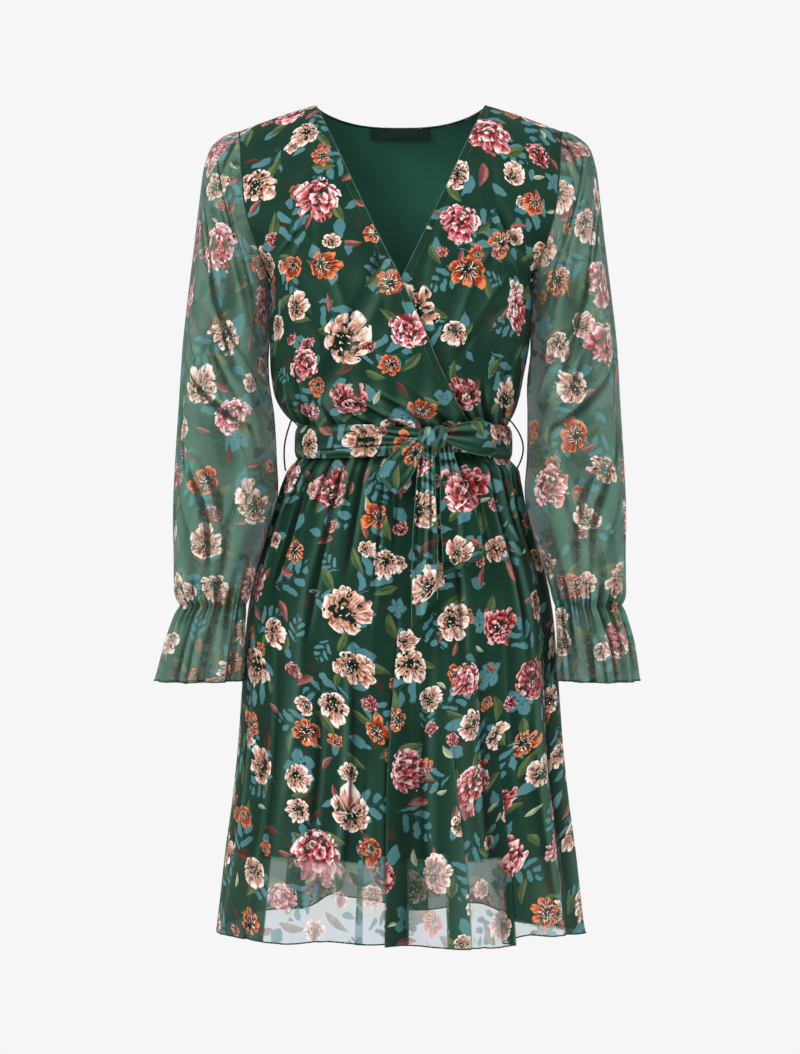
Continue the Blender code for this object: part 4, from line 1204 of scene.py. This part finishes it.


# Where the skirt's cloth laps over itself, as below but with how far it fades: painted shade only.
SKIRT_LAPS = (
    (-72, 4, -84, 200, 3, 12), (-45, 4, -50, 140, 2, -10), (-21, 4, -24, 330, 2, 10),
    (-6, 4, -10, 120, 1, -9), (14, 4, 16, 150, 1, 10), (42, 4, 52, 250, 3, -11),
    (80, 4, 90, 130, 2, 10), (102, 4, 116, 260, 3, -12), (-112, 4, -126, 160, 2, 11),
    (-150, 4, -166, 210, 2, -12), (-36, 250, -42, 545, 3, 12), (-108, 260, -118, 545, 4, -14),
    (64, 300, 70, 540, -3, 12), (138, 10, 152, 190, 2, 11), (118, 320, 128, 550, -3, -14),
)

# Narrow folds of the skirt, in millimetres: s from the centre front and t down from the waist.
SKIRT_CREASES = (
    (-160, 2, -176, 150, 3, 6, -2.6), (-134, 2, -142, 90, 3, 5, -2.2),
    (-111, 2, -122, 170, 3, 5, -3.0), (-90, 2, -96, 80, 2, 4, -2.4), (-70, 2, -78, 230, 3, 5, -3.4),
    (-56, 2, -58, 90, 2, 4, -2.2), (-43, 2, -47, 150, 2, 4, -2.8), (-30, 2, -30, 64, 1, 3.5, -2.0),
    (-20, 2, -24, 210, 2, 4.5, -3.2), (-4, 2, -8, 130, 2, 4, -2.8), (14, 2, 15, 170, 2, 4.5, -2.6),
    (26, 2, 28, 76, 2, 3.5, -2.0), (40, 2, 47, 260, 3, 5, -3.2), (60, 2, 67, 100, 2, 4, -2.4),
    (78, 2, 86, 140, 2, 4.5, -2.6), (100, 2, 110, 240, 3, 5, -3.4),
    (122, 2, 133, 110, 2, 4.5, -2.6), (146, 2, 160, 170, 2, 6, -2.8),
    (-148, 240, -160, 560, 7, 9, -2.6), (-104, 210, -110, 560, 8, 8, -3.2),
    (-66, 250, -72, 500, 6, 7, -2.6), (-38, 180, -44, 580, 6, 7, -3.2),
    (22, 220, 20, 560, -5, 7, -2.8), (66, 240, 74, 570, -6, 8, -3.0),
    (112, 280, 122, 580, -7, 8, -3.0), (154, 230, 166, 540, -6, 9, -2.6),
    (-84, 150, -92, 420, 5, 10, 2.4), (2, 140, 0, 380, 4, 9, 2.2), (90, 160, 96, 430, -5, 10, 2.4),
)


def skirt_cloth(side, u, v):
    """The skirt's outer cloth, the angle it ends up at, and where it laps over itself."""
    angle = np.pi * (u - 0.5)
    top = WAIST - SEAM / 2
    z = top + (hem_z(side, angle) - top) * v
    down, above_hem = top - z, z - hem_z(side, angle)
    round_it = angle * SKIRT_RADIUS
    edge = smoothstep(np.pi / 2, np.pi / 2 - 0.12, np.abs(angle))
    seed = 30 + side
    gathers = sum(
        height * ripples(round_it, seed + 2 * row, low, high) * np.exp(-down / reach)
        for row, (height, low, high, reach) in enumerate(SKIRT_GATHERS)
    )
    gathers = gathers + 0.0016 * ripples(round_it, seed + 6, 9, 18) * smoothstep(0.1, 0.4, down)
    turned, outward = fold_over(side, angle, z)
    table = SKIRT_CREASES
    if side > 0:
        table = [(9 - s0, t0, 9 - s1, t1, *rest) for s0, t0, s1, t1, *rest in table]
    gathers = gathers + creases(round_it, down, table)
    gathers = gathers + 0.0008 * ripples(round_it, seed + 8, 50, 120) * np.exp(-above_hem / 0.010)
    extra = gathers * edge * (0.35 + 0.65 * smoothstep(0.0, 0.02, down)) + outward
    lapped = laps(side * -round_it, down, SKIRT_LAPS) * edge
    return skirt_point(side, angle + turned, z, extra=extra), angle + turned, lapped


def even_columns(row_at, count):
    """Shares from 0 to 1 that are evenly spaced along the row's own length."""
    fine = np.linspace(0, 1, 6000)
    length = path_length(row_at(fine), 0)
    return np.interp(np.linspace(0, length[-1], count), length, fine)


# Where the hanging folds lie over each other below the lining, seen from in front, in degrees.
THICK = {-1: ((-95, -43), (-4.8, 2.2), (14.2, 20.4), (36.0, 95)), 1: ()}
LOW_WINDOW = (38.5, 66.0, -0.912, -0.931)  # a thinner place in the last of them, and its top


def skirt_veil(side, angle, z):
    """Sheer below the lining, but for where the folds lie over each other."""
    bare = smoothstep(LINING_HEM + 0.001, LINING_HEM - 0.001, z)
    single = 0.33 if side < 0 else 0.76
    place = np.degrees(angle)
    thick = np.zeros_like(place)
    for low, high in THICK[side]:
        thick = np.maximum(thick, (place > low) & (place < high))
    low, high, top, end = LOW_WINDOW
    along = np.clip((place - low) / (high - low), 0, 1)
    edge = top + (end - top) * along**0.7
    window = (place > low) * (place < high) * smoothstep(edge + 0.001, edge - 0.001, z)
    thick = thick * (1 - window)
    return 1 - bare * (1 - single) * (1 - thick * 0.95)


def add_skirt_panel(side, word, seed, cloth, hem, seam):
    columns = even_columns(lambda u: skirt_cloth(side, u, np.ones_like(u))[0], SKIRT_GRID[0])
    u, v = np.meshgrid(columns, np.linspace(0, 1, SKIRT_GRID[1]))
    points, angle, lapped = skirt_cloth(side, u, v)
    middle = np.abs(columns - 0.5).argmin()
    across, down = path_length(points, 1), path_length(points, 0)
    flat = stack(across - across[:, middle, None], -down[:, middle, None])
    veil = skirt_veil(side, angle, points[..., 2])
    node = f"skirt_{word}"
    # Painted shade where the cloth laps over itself.
    sheet = Sheet(node + "_cloth", points, flat, veil, None, (0.007, 0.0022), 0.45 * lapped)
    made = printed(sheet, cloth, node, seed, CHART.get(node, ()))
    pieces = [add_roll(node + "_hem", [points[-1]], HEM_ROLL, hem)]
    if side < 0:
        sides = [column * (1.0, 0.0, 1.0) for column in (points[:, 0], points[:, -1])]
        pieces.append(add_roll("skirt_seams", sides, SEAM_ROLL, seam))
    declare(made, sheet)


def add_skirt_lining(side, word, seed, plain):
    u, v = even_grid(*SKIRT_LINING_GRID)
    angle = np.pi * (u - 0.5)
    z = WAIST - SEAM / 2 + (LINING_HEM - WAIST) * v
    inset = 0.0045 + 1.25 * SKIRT.at(z, "fold")
    soft = -np.abs(ripples(angle * 0.12, seed, 12, 30)) * 0.0008 * smoothstep(0, 0.1, v)
    points = skirt_point(side, angle, z, inset, 0.25 * smoothstep(0.2, 0.8, v), soft)
    down = path_length(points, 0)[:, SKIRT_LINING_GRID[0] // 2, None]
    flat = stack(path_length(points, 1) - 0.25, -down)
    sheet = Sheet(f"lining_skirt_{word}_cloth", points, flat)
    declare(sheet.made(plain, f"lining_skirt_{word}", "lining"), sheet)


def add_skirt(cloth, plain, hem, seam):
    for side, word, seed in ((-1, "front", 21), (1, "back", 22)):
        add_skirt_panel(side, word, seed, cloth, hem, seam)
        add_skirt_lining(side, word, seed, plain)


# --------------------------------------------------------------------------------------- sleeves


def armhole_point(turn):
    """The armhole edge. turn is 0 at the shoulder, 0.25 in front and 0.5 at the underarm."""
    height = UNDERARM + (1 - UNDERARM) * (0.5 + 0.5 * np.cos(2 * np.pi * turn))
    ahead = bodice_point(-1, side_angle(height), height)
    behind = bodice_point(1, side_angle(height), height)
    return np.where((np.sin(2 * np.pi * turn) >= 0)[..., None], ahead, behind)


# Folds of a sleeve: turn and share along of both ends as millimetres of its flat cloth, s from
# the outermost line towards the front and t down from the shoulder.
SLEEVE_CREASES = (
    (8, 4, 34, 70, 4, 5, 1.8), (24, 4, 52, 66, 4, 5, -2.2), (40, 4, 70, 96, 5, 6, 1.6),
    (-20, 4, -30, 70, -4, 6, 1.6), (-42, 4, -58, 76, -4, 6, -2.0), (30, 60, 96, 130, 8, 8, -3.0),
    (70, 60, 118, 190, 10, 9, -2.6), (26, 150, 66, 260, 8, 7, -3.0),
    (44, 90, 104, 250, 12, 11, 2.6), (14, 170, 96, 330, 14, 8, -3.0),
    (60, 250, 130, 360, 8, 8, 2.4), (6, 250, 60, 340, 8, 8, 2.6), (30, 330, 120, 400, -8, 8, -3.2),
    (70, 300, 126, 430, 6, 8, 2.4), (10, 330, 40, 480, 8, 8, -2.8), (18, 420, 60, 530, 6, 7, 2.4),
    (40, 430, 80, 560, 8, 6, -2.8), (60, 440, 96, 560, 8, 7, -2.6), (100, 440, 84, 560, -6, 7, 2.2),
    (-30, 140, -70, 300, -8, 10, 2.6), (-50, 120, -100, 220, -8, 8, -2.8),
    (-80, 220, -40, 360, 8, 9, -3.0), (-120, 300, -60, 420, -8, 9, 2.4),
    (-20, 330, -60, 450, -6, 8, -2.8), (-60, 430, -30, 560, 5, 7, -2.6),
    (-110, 440, -90, 560, 5, 8, 2.2),
)


# Where a sleeve's cloth laps over itself: s and t of both ends, bow, and how far it fades.
SLEEVE_LAPS = (
    (43, 190, 78, 340, 4, 20), (62, 30, 88, 120, 4, -16), (38, 385, 36, 520, 1, 22),
    (98, 120, 120, 260, 6, -18), (120, 250, 84, 372, -8, 22), (70, 350, 112, 470, 6, -20),
    (92, 430, 100, 560, 3, 16), (66, 505, 52, 592, -2, -12), (36, 596, 52, 655, 1, 12),
    (84, 600, 74, 655, -1, -16), (118, 606, 112, 655, 0, 14), (-30, 60, -66, 190, -6, 18),
    (-96, 150, -60, 290, 6, -20), (-40, 280, -84, 420, -6, 20), (-110, 330, -80, 500, 5, -18),
    (-48, 440, -40, 560, 2, 18), (-60, 600, -66, 655, 0, 14), (-110, 604, -100, 655, 0, -14),
)


def sleeve_section(side, turn, along):
    """The sleeve as the part has it. turn goes round it from its outer side, along down it."""
    row = {name: SLEEVE.at(along, name) for name in SLEEVE.columns}
    outer_x, inner_x = row["outer_x"], row["inner_x"]
    if side > 0:
        outer_x, inner_x = outer_x + row["left_outer"], inner_x + row["left_inner"]
    angle = 2 * np.pi * turn
    away, ahead = np.cos(angle), np.sin(angle)
    free = smoothstep(-0.95, -0.35, away)
    fold = row["fold"] * np.cos(SLEEVE_FOLDS * angle + 1.1 + 1.6 * along) * free
    wavy = np.maximum(free, smoothstep(0.9, 1, along))
    wave = row["gather"] * np.cos(FRILL_WAVES * angle) * wavy
    grow = 1 + (fold + wave) / 0.05
    x = (outer_x + inner_x) / 2 + (outer_x - inner_x) / 2 * away * grow
    z = (row["outer_z"] + row["inner_z"]) / 2 + (row["outer_z"] - row["inner_z"]) / 2 * away
    z = z - 0.0045 * np.maximum(-ahead, 0) * smoothstep(ELASTIC, 1.0, along)
    return stack(x, row["y"] - row["half_depth"] * ahead * grow, z)


def sleeve_surface(side):
    def surface(u, v):
        fitted = armhole_point(u) + (2 * SEAM, 0.0, 0.0) - sleeve_section(side, u, v * 0.0)
        near = 1 - smoothstep(0.0, 0.30, v)
        return (sleeve_section(side, u, v) + fitted * near[..., None]) * (side, 1.0, 1.0)

    return surface


# Neighbouring places of a grid, as pairs of index ranges: along, down and both ways aslant.
NEIGHBOURS = (
    (np.s_[:, :-1], np.s_[:, 1:]), (np.s_[:-1, :], np.s_[1:, :]), (np.s_[:-1, :-1], np.s_[1:, 1:]),
    (np.s_[:-1, 1:], np.s_[1:, :-1]),
)


def filled(columns, places, count):
    """Columns of numbers that stand at some places, read at every whole number below count."""
    wanted = np.arange(count)
    return np.stack([np.interp(wanted, places, column) for column in columns.T], axis=1)


def unrolled(points, coarse=(56, 40), rounds=900):
    """Places on a sleeve's flat cloth, settled until they are as far apart as on the sleeve."""
    rows, columns = (np.rint(np.linspace(0, n - 1, c)) for n, c in zip(points.shape, coarse))
    some = points[rows.astype(int)][:, columns.astype(int)]
    ahead = unit((points[-1] - points[0]).mean(axis=0))
    across = path_length(some, 1)
    flat = stack(across - across[:, coarse[1] // 2, None], -(some @ ahead))
    for _ in range(rounds):
        push = np.zeros_like(flat)
        for a, b in NEIGHBOURS:
            gap = flat[b] - flat[a]
            want = np.linalg.norm(some[b] - some[a], axis=-1)
            share = want / np.maximum(np.linalg.norm(gap, axis=-1), 1e-6) - 1
            push[b] += gap * share[..., None]
            push[a] -= gap * share[..., None]
        flat += push * 0.11
    down = (filled(part, rows, points.shape[0]) for part in (flat[..., 0], flat[..., 1]))
    return stack(*(filled(part.T, columns, points.shape[1]).T for part in down))


def sleeve_lift(u, v, s, t, seed, lapped):
    """How far the pleats at the elastic, the folds and the frill's waves rise."""
    apart, below = np.abs(u), v - ELASTIC
    fine = ripples(u, seed, 30, 52) * 0.0022 * bell(below, DRAWN)
    pleats = fine * smoothstep(0.5, 0.44, apart)
    pleats = pleats + ripples(u, seed + 3, 11, 19) * 0.0019 * bell(below, 0.065)
    groove = -0.0009 * bell(below, 0.007)
    cap = ripples(u, seed + 5, 20, 34) * 0.0009 * np.exp(-t / 0.035) * smoothstep(0.3, 0.1, apart)
    folds = creases(s, t, SLEEVE_CREASES) * smoothstep(0.5, 0.40, apart)
    frill = ripples(u, seed + 7, 12, 26) * 0.0020 * smoothstep(ELASTIC + 0.01, 1.0, v)
    return folds + pleats + groove + frill + cap * smoothstep(0.0, 0.01, v) + 0.0006 * lapped


def add_sleeve(side, word, seed, cloth, hem, seam):
    surface = sleeve_surface(side)
    columns, upper, lower = SLEEVE_GRID
    upper = np.linspace(0, CUFF_FROM, upper + 1)[:-1]
    rows = np.concatenate([upper, np.linspace(CUFF_FROM, 1, lower)])
    u, v = np.meshgrid(np.linspace(-0.5, 0.5, columns), rows)
    base, outer = surface(u, v), np.zeros_like(u)
    outward = base - (surface(outer, v) / 2 + surface(outer + 0.5, v) / 2)
    normal = faced(normals(surface, u, v, np.ones_like), outward)
    s, t, apart = u * SLEEVE_ROUND, v * SLEEVE_LONG, np.abs(u)
    lapped = laps(s, t, SLEEVE_LAPS) * smoothstep(0.5, 0.42, apart)
    points = base + normal * sleeve_lift(u, v, s, t, seed, lapped)[..., None]
    near_body = smoothstep(0.02, 0.06, v) * smoothstep(0.42, 0.34, v)
    points[..., 0] -= side * 0.0013 * (smoothstep(0.36, 0.44, apart) * near_body)
    flat = unrolled(points)
    drawn = bell(v - ELASTIC, DRAWN)
    behind = smoothstep(0.38, 0.49, apart) * smoothstep(0.3, 0.5, v)
    veil = 0.74 + 0.10 * drawn + 0.18 * lapped - 0.10 * behind
    # Painted shade where the cloth laps, towards the body and at the elastic, and painted
    # light and dark in broad soft bands.
    dark = 0.30 * lapped + 0.35 * smoothstep(0.20, 0.42, apart) + 0.45 * drawn
    dark = dark + 0.22 * ripples(s + 0.35 * t, seed + 9, 6, 14) - 0.12
    node = f"sleeve_{word}"
    sheet = Sheet(node + "_cloth", points, flat, veil, outward, (0.009, 0.0019), dark)
    made = printed(sheet, cloth, node, seed, CHART[node])
    armhole = points[0] + normal[0] * 0.0001
    pieces = [
        add_roll(node + "_hem", [points[-1] + (0, 0, 0.0004)], 0.0009, hem),
        add_roll(node + "_seams", [armhole, points[:, 0]], 0.0004, seam),
    ]
    declare(made, sheet)


def add_sleeves(cloth, hem, seam):
    for side, word, seed in ((-1, "right", 31), (1, "left", 32)):
        add_sleeve(side, word, seed, cloth, hem, seam)


# ------------------------------------------------------------------------------------------ belt

# Folds in the belt band, in millimetres: s from the centre front, t up from its middle.
BAND_CREASES = (
    (26, 3, -36, 12, -2, 2.2, -1.8), (26, 0, -70, 3, 2, 3.4, 1.4),
    (26, -3, -108, -10.5, 0, 1.6, -2.4), (24, -6, -118, -14, 0, 2.4, 1.5),
    (20, 6, -90, 14, 2, 3.0, 1.2), (50, 2, 96, 8, 2, 2.4, -1.6), (50, -4, 104, -9, -2, 2.4, 1.4),
    (52, -2, 130, -3, 1, 2.6, -1.4),
)
BAND_CHART = (("lily", -4.4, -38.4, 4.4), ("rust", 0.4, -38.8, 3.0), ("peach", -10.0, -38.9, 3.2))
KNOT_CHART = (("head", 3.1, -38.2, 3.2), ("rust", 4.4, -38.8, 3.0))
TAIL_CHARTS = {
    "left": (("peony", 6.0, -44.2, 5.0), ("peach", 6.6, -50.6, 3.0)),
    "right": (("peach", 2.6, -46.0, 4.2), ("peony", 2.2, -40.4, 3.0), ("peach", 2.9, -54.4, 3.8)),
}
LOOP_LEG = 0.42  # the share of a loop from the knot to where it bends
LOOPS = (
    # word, at the knot, at the bend, the way across, half width, how far it rises
    ("left", (0.0500, -0.1040, -0.3810), (0.1040, -0.0680, -0.3845), (0, 0.1, 1), 0.0205, 0.004),
    ("right", (0.0215, -0.1055, -0.388), (-0.0145, -0.117, -0.434), (-0.68, 0, 0.73), 0.018, 0.002),
)
TAILS = (
    # word, x and z at the knot and at the end, half widths there, how far ahead, slant, curl
    ("right", (0.0288, -0.3930), (0.0262, -0.5760), 0.0090, 0.0140, 0.0085, -0.0150, 0.0),
    ("left", (0.0460, -0.3930), (0.0676, -0.5290), 0.0075, 0.0215, 0.0135, -0.0110, 1.0),
)


def waist_oval(angle, out):
    """A point out beyond the waist section. angle goes all round: 0 in front, 90 at the left."""
    half_width, front, back, shift = BODICE.at(0.0, "half_width", "front", "back", "shift")
    depth = np.where(np.cos(angle) > 0, front, back) + out
    return shift + (half_width + out) * np.sin(angle), -depth * np.cos(angle)


def band_surface(u, v):
    """The band round the waist, from edge to edge: drawn together beside the knot."""
    angle = 2 * np.pi * (u - 0.5)
    knot_angle = np.arcsin(KNOT[0] / 0.122)
    away = np.arctan2(np.sin(angle - knot_angle), np.cos(angle - knot_angle))
    near = bell(away, 0.42)
    across = 1 - 2 * v
    out = 0.0100 - 0.0040 * np.abs(across) ** 5
    x, y = waist_oval(angle, out + 0.0035 * np.maximum(np.cos(angle), 0) ** 0.6)
    half = 0.0185 * (1 - 0.46 * near)
    sag = 0.0008 * np.sin(3 * angle)
    return stack(x, y, BELT_Z + sag + half * across)


def add_band(cloth):
    u, v = even_grid(*BAND_GRID)
    base = band_surface(u, v)
    outward = base * (1.0, 1.0, 0.0)
    normal = normals(band_surface, u, v, lambda points: points * (1.0, 1.0, 0.0))
    across = path_length(base, 1)[BAND_GRID[1] // 2]
    s, t = across - across[BAND_GRID[0] // 2] + 0.0 * v, base[..., 2] - BELT_Z
    edge = 0.0007 * smoothstep(0.86, 0.97, np.abs(1 - 2 * v))
    lift = creases(s, t, BAND_CREASES) + edge + 0.0006 * ripples(s + 0.3 * t, 61, 10, 26)
    points = base + normal * lift[..., None]
    sheet = Sheet("belt_band_cloth", points, stack(s, t), 1.0, outward, (0.004, 0.0009))
    declare(printed(sheet, cloth, "belt_band", 41, BAND_CHART), sheet)


def add_knot(cloth):
    """The knot: a strip drawn tightly over the band, with folds along it."""
    u, v = even_grid(*KNOT_GRID)
    round_it, over = 2 * np.pi * (u - 0.5), np.pi * (v - 0.5)
    turn = np.sin(round_it)
    x = np.sign(np.sin(over)) * np.abs(np.sin(over)) ** 0.9
    folds = np.cos(6.5 * x + 2.6 * turn + 0.6) + 0.6 * np.cos(12 * x - 2.7 * turn + 1)
    radius = np.abs(np.cos(over)) ** 0.5 * (1 + 0.075 * folds * np.cos(over) ** 0.5)
    y, z = -radius * np.cos(round_it), radius * turn
    place = stack(x + 0.10 * z, np.minimum(y, 0.45), z * (1 + 0.10 * x))
    points = KNOT + KNOT_HALF * 1.04 * place
    flat = stack(0.034 * x, 0.046 * (u - 0.5) * 2)
    sheet = Sheet("belt_knot_cloth", points, flat, 1.0, points - KNOT, (0.003, 0.0007))
    declare(printed(sheet, cloth, "belt_knot", 42, KNOT_CHART), sheet)


def skirt_front_y(x, z):
    """How far forward the skirt reaches at x and z, folds included."""
    depth, half, fold = SKIRT.at(z, "front", "half_width", "fold")
    reach = 1.2 * fold + 0.0030
    return -(depth * np.sqrt(np.maximum(1 - (x / half) ** 2, 0)) + reach)


def add_strip(name, cloth, edge, middle, over, half_width, shape, relief, seed, chart=()):
    """A strip of the belt along middle(s). over(s) is the way across it, to both edges."""
    s, w = np.meshgrid(np.linspace(0, 1, shape[0]), np.linspace(-1, 1, shape[1]), indexing="ij")
    base = middle(s, w) + over(s) * (half_width(s) * w)[..., None]
    centre = shape[1] // 2
    normal = unit(np.cross(np.gradient(base, axis=1), np.gradient(base, axis=0)))
    normal = normal * np.sign(-normal[0, centre, 1])
    lift = relief(s, w) + 0.0005 * smoothstep(0.88, 0.98, np.abs(w))
    points = base + normal * lift[..., None]
    flat = stack(half_width(s) * w, -path_length(base, 0)[:, centre, None])
    sheet = Sheet(name + "_cloth", points, flat, 1.0, normal, (0.004, 0.0008))
    made = printed(sheet, cloth, name, seed, chart)
    edges = add_roll(name + "_edges", [points[:, 0], points[:, -1]], 0.0005, edge)
    declare(made, sheet)


def loop_out(s):
    """How far out from the knot a place on a loop is: 0 at both of its ends, 1 at the bend."""
    return np.clip(np.minimum(s, 1 - s) / LOOP_LEG, 0, 1)


def loop_middle(start, end, rise, gap=0.0060):
    """Out from the knot along the front layer, round the end, and back along the rear one."""

    def middle(s, w):
        turn = np.pi * np.clip((s - LOOP_LEG) / (1 - 2 * LOOP_LEG), 0, 1)
        out = loop_out(s)
        place = start + (end - start) * out[..., None]
        depth = gap * (0.35 + 0.65 * np.sin(np.pi * out / 2)) * np.cos(turn)
        beyond = 0.5 * gap * np.sin(turn)
        way = (end - start) / np.linalg.norm(end - start)
        ahead = np.sin(np.pi * out) * rise + depth
        return place + way * beyond[..., None] + stack(0.0, -ahead, 0.0)

    return middle


def add_loop(word, start, end, over, widest, rise, seed, cloth, edge):
    def width(s):
        out = loop_out(s)
        narrow = 0.0065
        return (narrow + (widest - narrow) * np.sin(np.pi / 2 * out) ** 0.8) * (1 - 0.22 * out**6)

    def relief(s, w):
        out = loop_out(s)
        folds = np.cos(5.2 * w + 0.5 * seed) + 0.7 * np.cos(8.3 * w - seed)
        return 0.0011 * folds * (1 - smoothstep(0.15, 0.95, out)) + 0.0012 * np.cos(2.2 * w) * out

    def across(s):
        return unit(np.array(over)) * np.ones(s.shape + (1,))

    middle = loop_middle(np.array(start), np.array(end), rise)
    add_strip(f"belt_loop_{word}", cloth, edge, middle, across, width, LOOP_GRID, relief, seed)


def add_tail(word, top, end, narrow, wide, forward, slant, curled, seed, cloth, edge):
    def middle(s, w):
        x = top[0] + (end[0] - top[0]) * smoothstep(-0.3, 0.9, s)
        z = top[1] + (end[1] - top[1]) * s
        hang = np.minimum(skirt_front_y(x, z) - forward, KNOT[1])
        curl = curled * smoothstep(0.90, 1.0, s) * (1 - 0.45 * w)
        wave = 0.0014 * np.sin(9 * s + 1.5 * w) * s
        return stack(x, hang - 0.0045 * curl - wave, z + 0.0030 * curl)

    def width(s):
        return narrow + (wide - narrow) * smoothstep(0.0, 0.7, s)

    def over(s):
        return stack(1.0, 0.0, -slant / wide * smoothstep(0.75, 1.0, s))

    def relief(s, w):
        folds = np.cos(6.5 * w + seed) + 0.8 * np.cos(10.5 * w - 2 * seed)
        long_fold = 0.0013 * bell(w - 0.35 + 0.5 * s, 0.22)
        return 0.0012 * folds * np.exp(-s / 0.30) + long_fold * smoothstep(0.0, 0.3, s)

    name, chart = f"belt_tail_{word}", TAIL_CHARTS[word]
    add_strip(name, cloth, edge, middle, over, width, TAIL_GRID, relief, seed, chart)


def add_bow(cloth, edge):
    for seed, loop in enumerate(LOOPS, 43):
        add_loop(*loop, seed, cloth, edge)
    for seed, tail in enumerate(TAILS, 45):
        add_tail(*tail, seed, cloth, edge)


def add_carriers(black):
    """Twisted thread loops at the side seams, which carry the belt."""
    angle, out, thick = np.radians(80), 0.0015, 0.00055
    t = np.linspace(0, 1, 120)[:, None]
    for side, word, stand in ((-1, "right", 0.0045), (1, "left", 0.0120)):
        ends = []
        for height, table, row in ((-0.3600, BODICE, 0.065), (-0.4180, SKIRT, -0.4180)):
            half_width, front = table.at(row, "half_width", "front")
            x, ahead = oval(angle, half_width + out, front + out, 2.0)
            ends.append(np.array((x, -ahead, height)))
        line = ends[0] + (ends[1] - ends[0]) * t
        line = (line + np.array((stand, 0.0, 0.0)) * np.sin(np.pi * t) ** 0.9) * (side, 1, 1)
        strands = []
        for strand in range(3):
            turn = 2 * np.pi * (t / 0.055 + strand / 3)
            off = thick * np.concatenate([np.cos(turn), np.sin(turn), 0 * turn], axis=1)
            strands.append(tube(line + off, thick))
        node = f"belt_carrier_{word}"
        add_tubes(node + "_thread", strands, black, node)


# ---------------------------------------------------------------------------------- small pieces


def add_label(tape, black):
    """A plain woven label sewn inside the back of the neck."""
    half_width, height, sewn = 0.0345, 0.012, -0.0030
    columns, rows = LABEL_GRID
    u, v = even_grid(columns, rows)

    def surface(u, v):
        share = 1 - (BACK_NECK_DROP + sewn + height * v) / -WAIST
        return bodice_point(1, angle_of(half_width * (2 * u - 1), share), share)

    normal = normals(surface, u, v, from_axis)
    puff = 0.0006 * np.sin(np.pi * u) * np.sin(np.pi * v)
    under = -LAYER - CLOTH - 0.0040 - puff
    points = surface(u, v) + normal * under[..., None]
    sheet = Sheet("neck_label_tape", points, stack(half_width * (2 * u - 1), -height * v))
    made = sheet.made(tape, "neck_label", "black_trim")
    threads = []
    for column in (1, columns - 2):
        inside = points[:, column] - normal[:, column] * 0.0003
        threads += [tube(inside[row : row + 2], 0.00022, 5) for row in range(1, rows - 2, 2)]
    stitches = add_tubes("neck_label_stitches", threads, black)


# ------------------------------------------------------------------------------ camera and light


def add_camera():
    data = bpy.data.cameras.new("camera")
    data.sensor_fit, data.sensor_height, data.lens = "VERTICAL", 36.0, LENS
    camera = add_object("camera", data)
    camera.location, camera.rotation_euler = CAMERA, (np.pi / 2, 0.0, 0.0)
    bpy.context.scene.camera = camera


def add_light(name, place, aim, size, watts):
    data = bpy.data.lights.new(name, "AREA")
    data.shape, data.size, data.energy = "DISK", size, watts
    lamp = add_object(name, data)
    lamp.location = place
    lamp.rotation_euler = (Vector(aim) - Vector(place)).to_track_quat("-Z", "Y").to_euler()


def add_world():
    """A pale studio: the same even tone behind the dress, and a softer light from it."""
    world = bpy.data.worlds.new("studio")
    world.use_nodes = True
    nodes, links = world.node_tree.nodes, world.node_tree.links
    seen, lit = nodes["Background"], nodes.new("ShaderNodeBackground")
    seen.inputs["Color"].default_value = BACKDROP
    lit.inputs["Color"].default_value = (1.0, 1.0, 1.0, 1.0)
    lit.inputs["Strength"].default_value = 0.85
    rays, mix = nodes.new("ShaderNodeLightPath"), nodes.new("ShaderNodeMixShader")
    links.new(rays.outputs["Is Camera Ray"], mix.inputs[0])
    links.new(lit.outputs[0], mix.inputs[1])
    links.new(seen.outputs[0], mix.inputs[2])
    links.new(mix.outputs[0], nodes["World Output"].inputs["Surface"])
    bpy.context.scene.world = world
    bpy.context.scene.view_settings.view_transform = "Standard"


def add_floor():
    mesh = bpy.data.meshes.new("floor")
    turn = np.linspace(0, 2 * np.pi, 96, endpoint=False)
    points = stack(1.2 * np.cos(turn), 1.2 * np.sin(turn), -1.62)
    mesh.from_pydata(points.tolist(), [], [list(range(len(turn)))])
    board = Board("floor")
    tone = board.noise(board.add("ShaderNodeTexCoord", {}, "Object"), 60.0, 2.0)
    shade = board.blend(tone, FLOOR, BACKDROP)
    mesh.materials.append(board.finish(base_color=shade, roughness=0.9))
    add_object("floor", mesh)


def main():
    cloth, plain = chiffon(), lining()
    edge, hem, seam = (rolled_edge(name, *pair) for name, pair in SEWN_EDGES.items())
    add_bodice(cloth, plain, edge, seam)
    add_skirt(cloth, plain, hem, seam)
    add_sleeves(cloth, hem, seam)
    add_band(cloth)
    add_knot(cloth)
    add_bow(cloth, edge)
    black = thread("black_thread", BLACK_THREAD)
    add_carriers(black)
    add_label(label_tape(), black)
    add_camera()
    add_world()
    add_floor()
    add_light("key", (-1.5, -2.2, 1.0), (0.0, 0.0, -0.45), 1.1, 28.0)
    add_light("fill", (1.9, -2.0, -0.2), (0.0, 0.0, -0.5), 1.4, 6.0)


main()
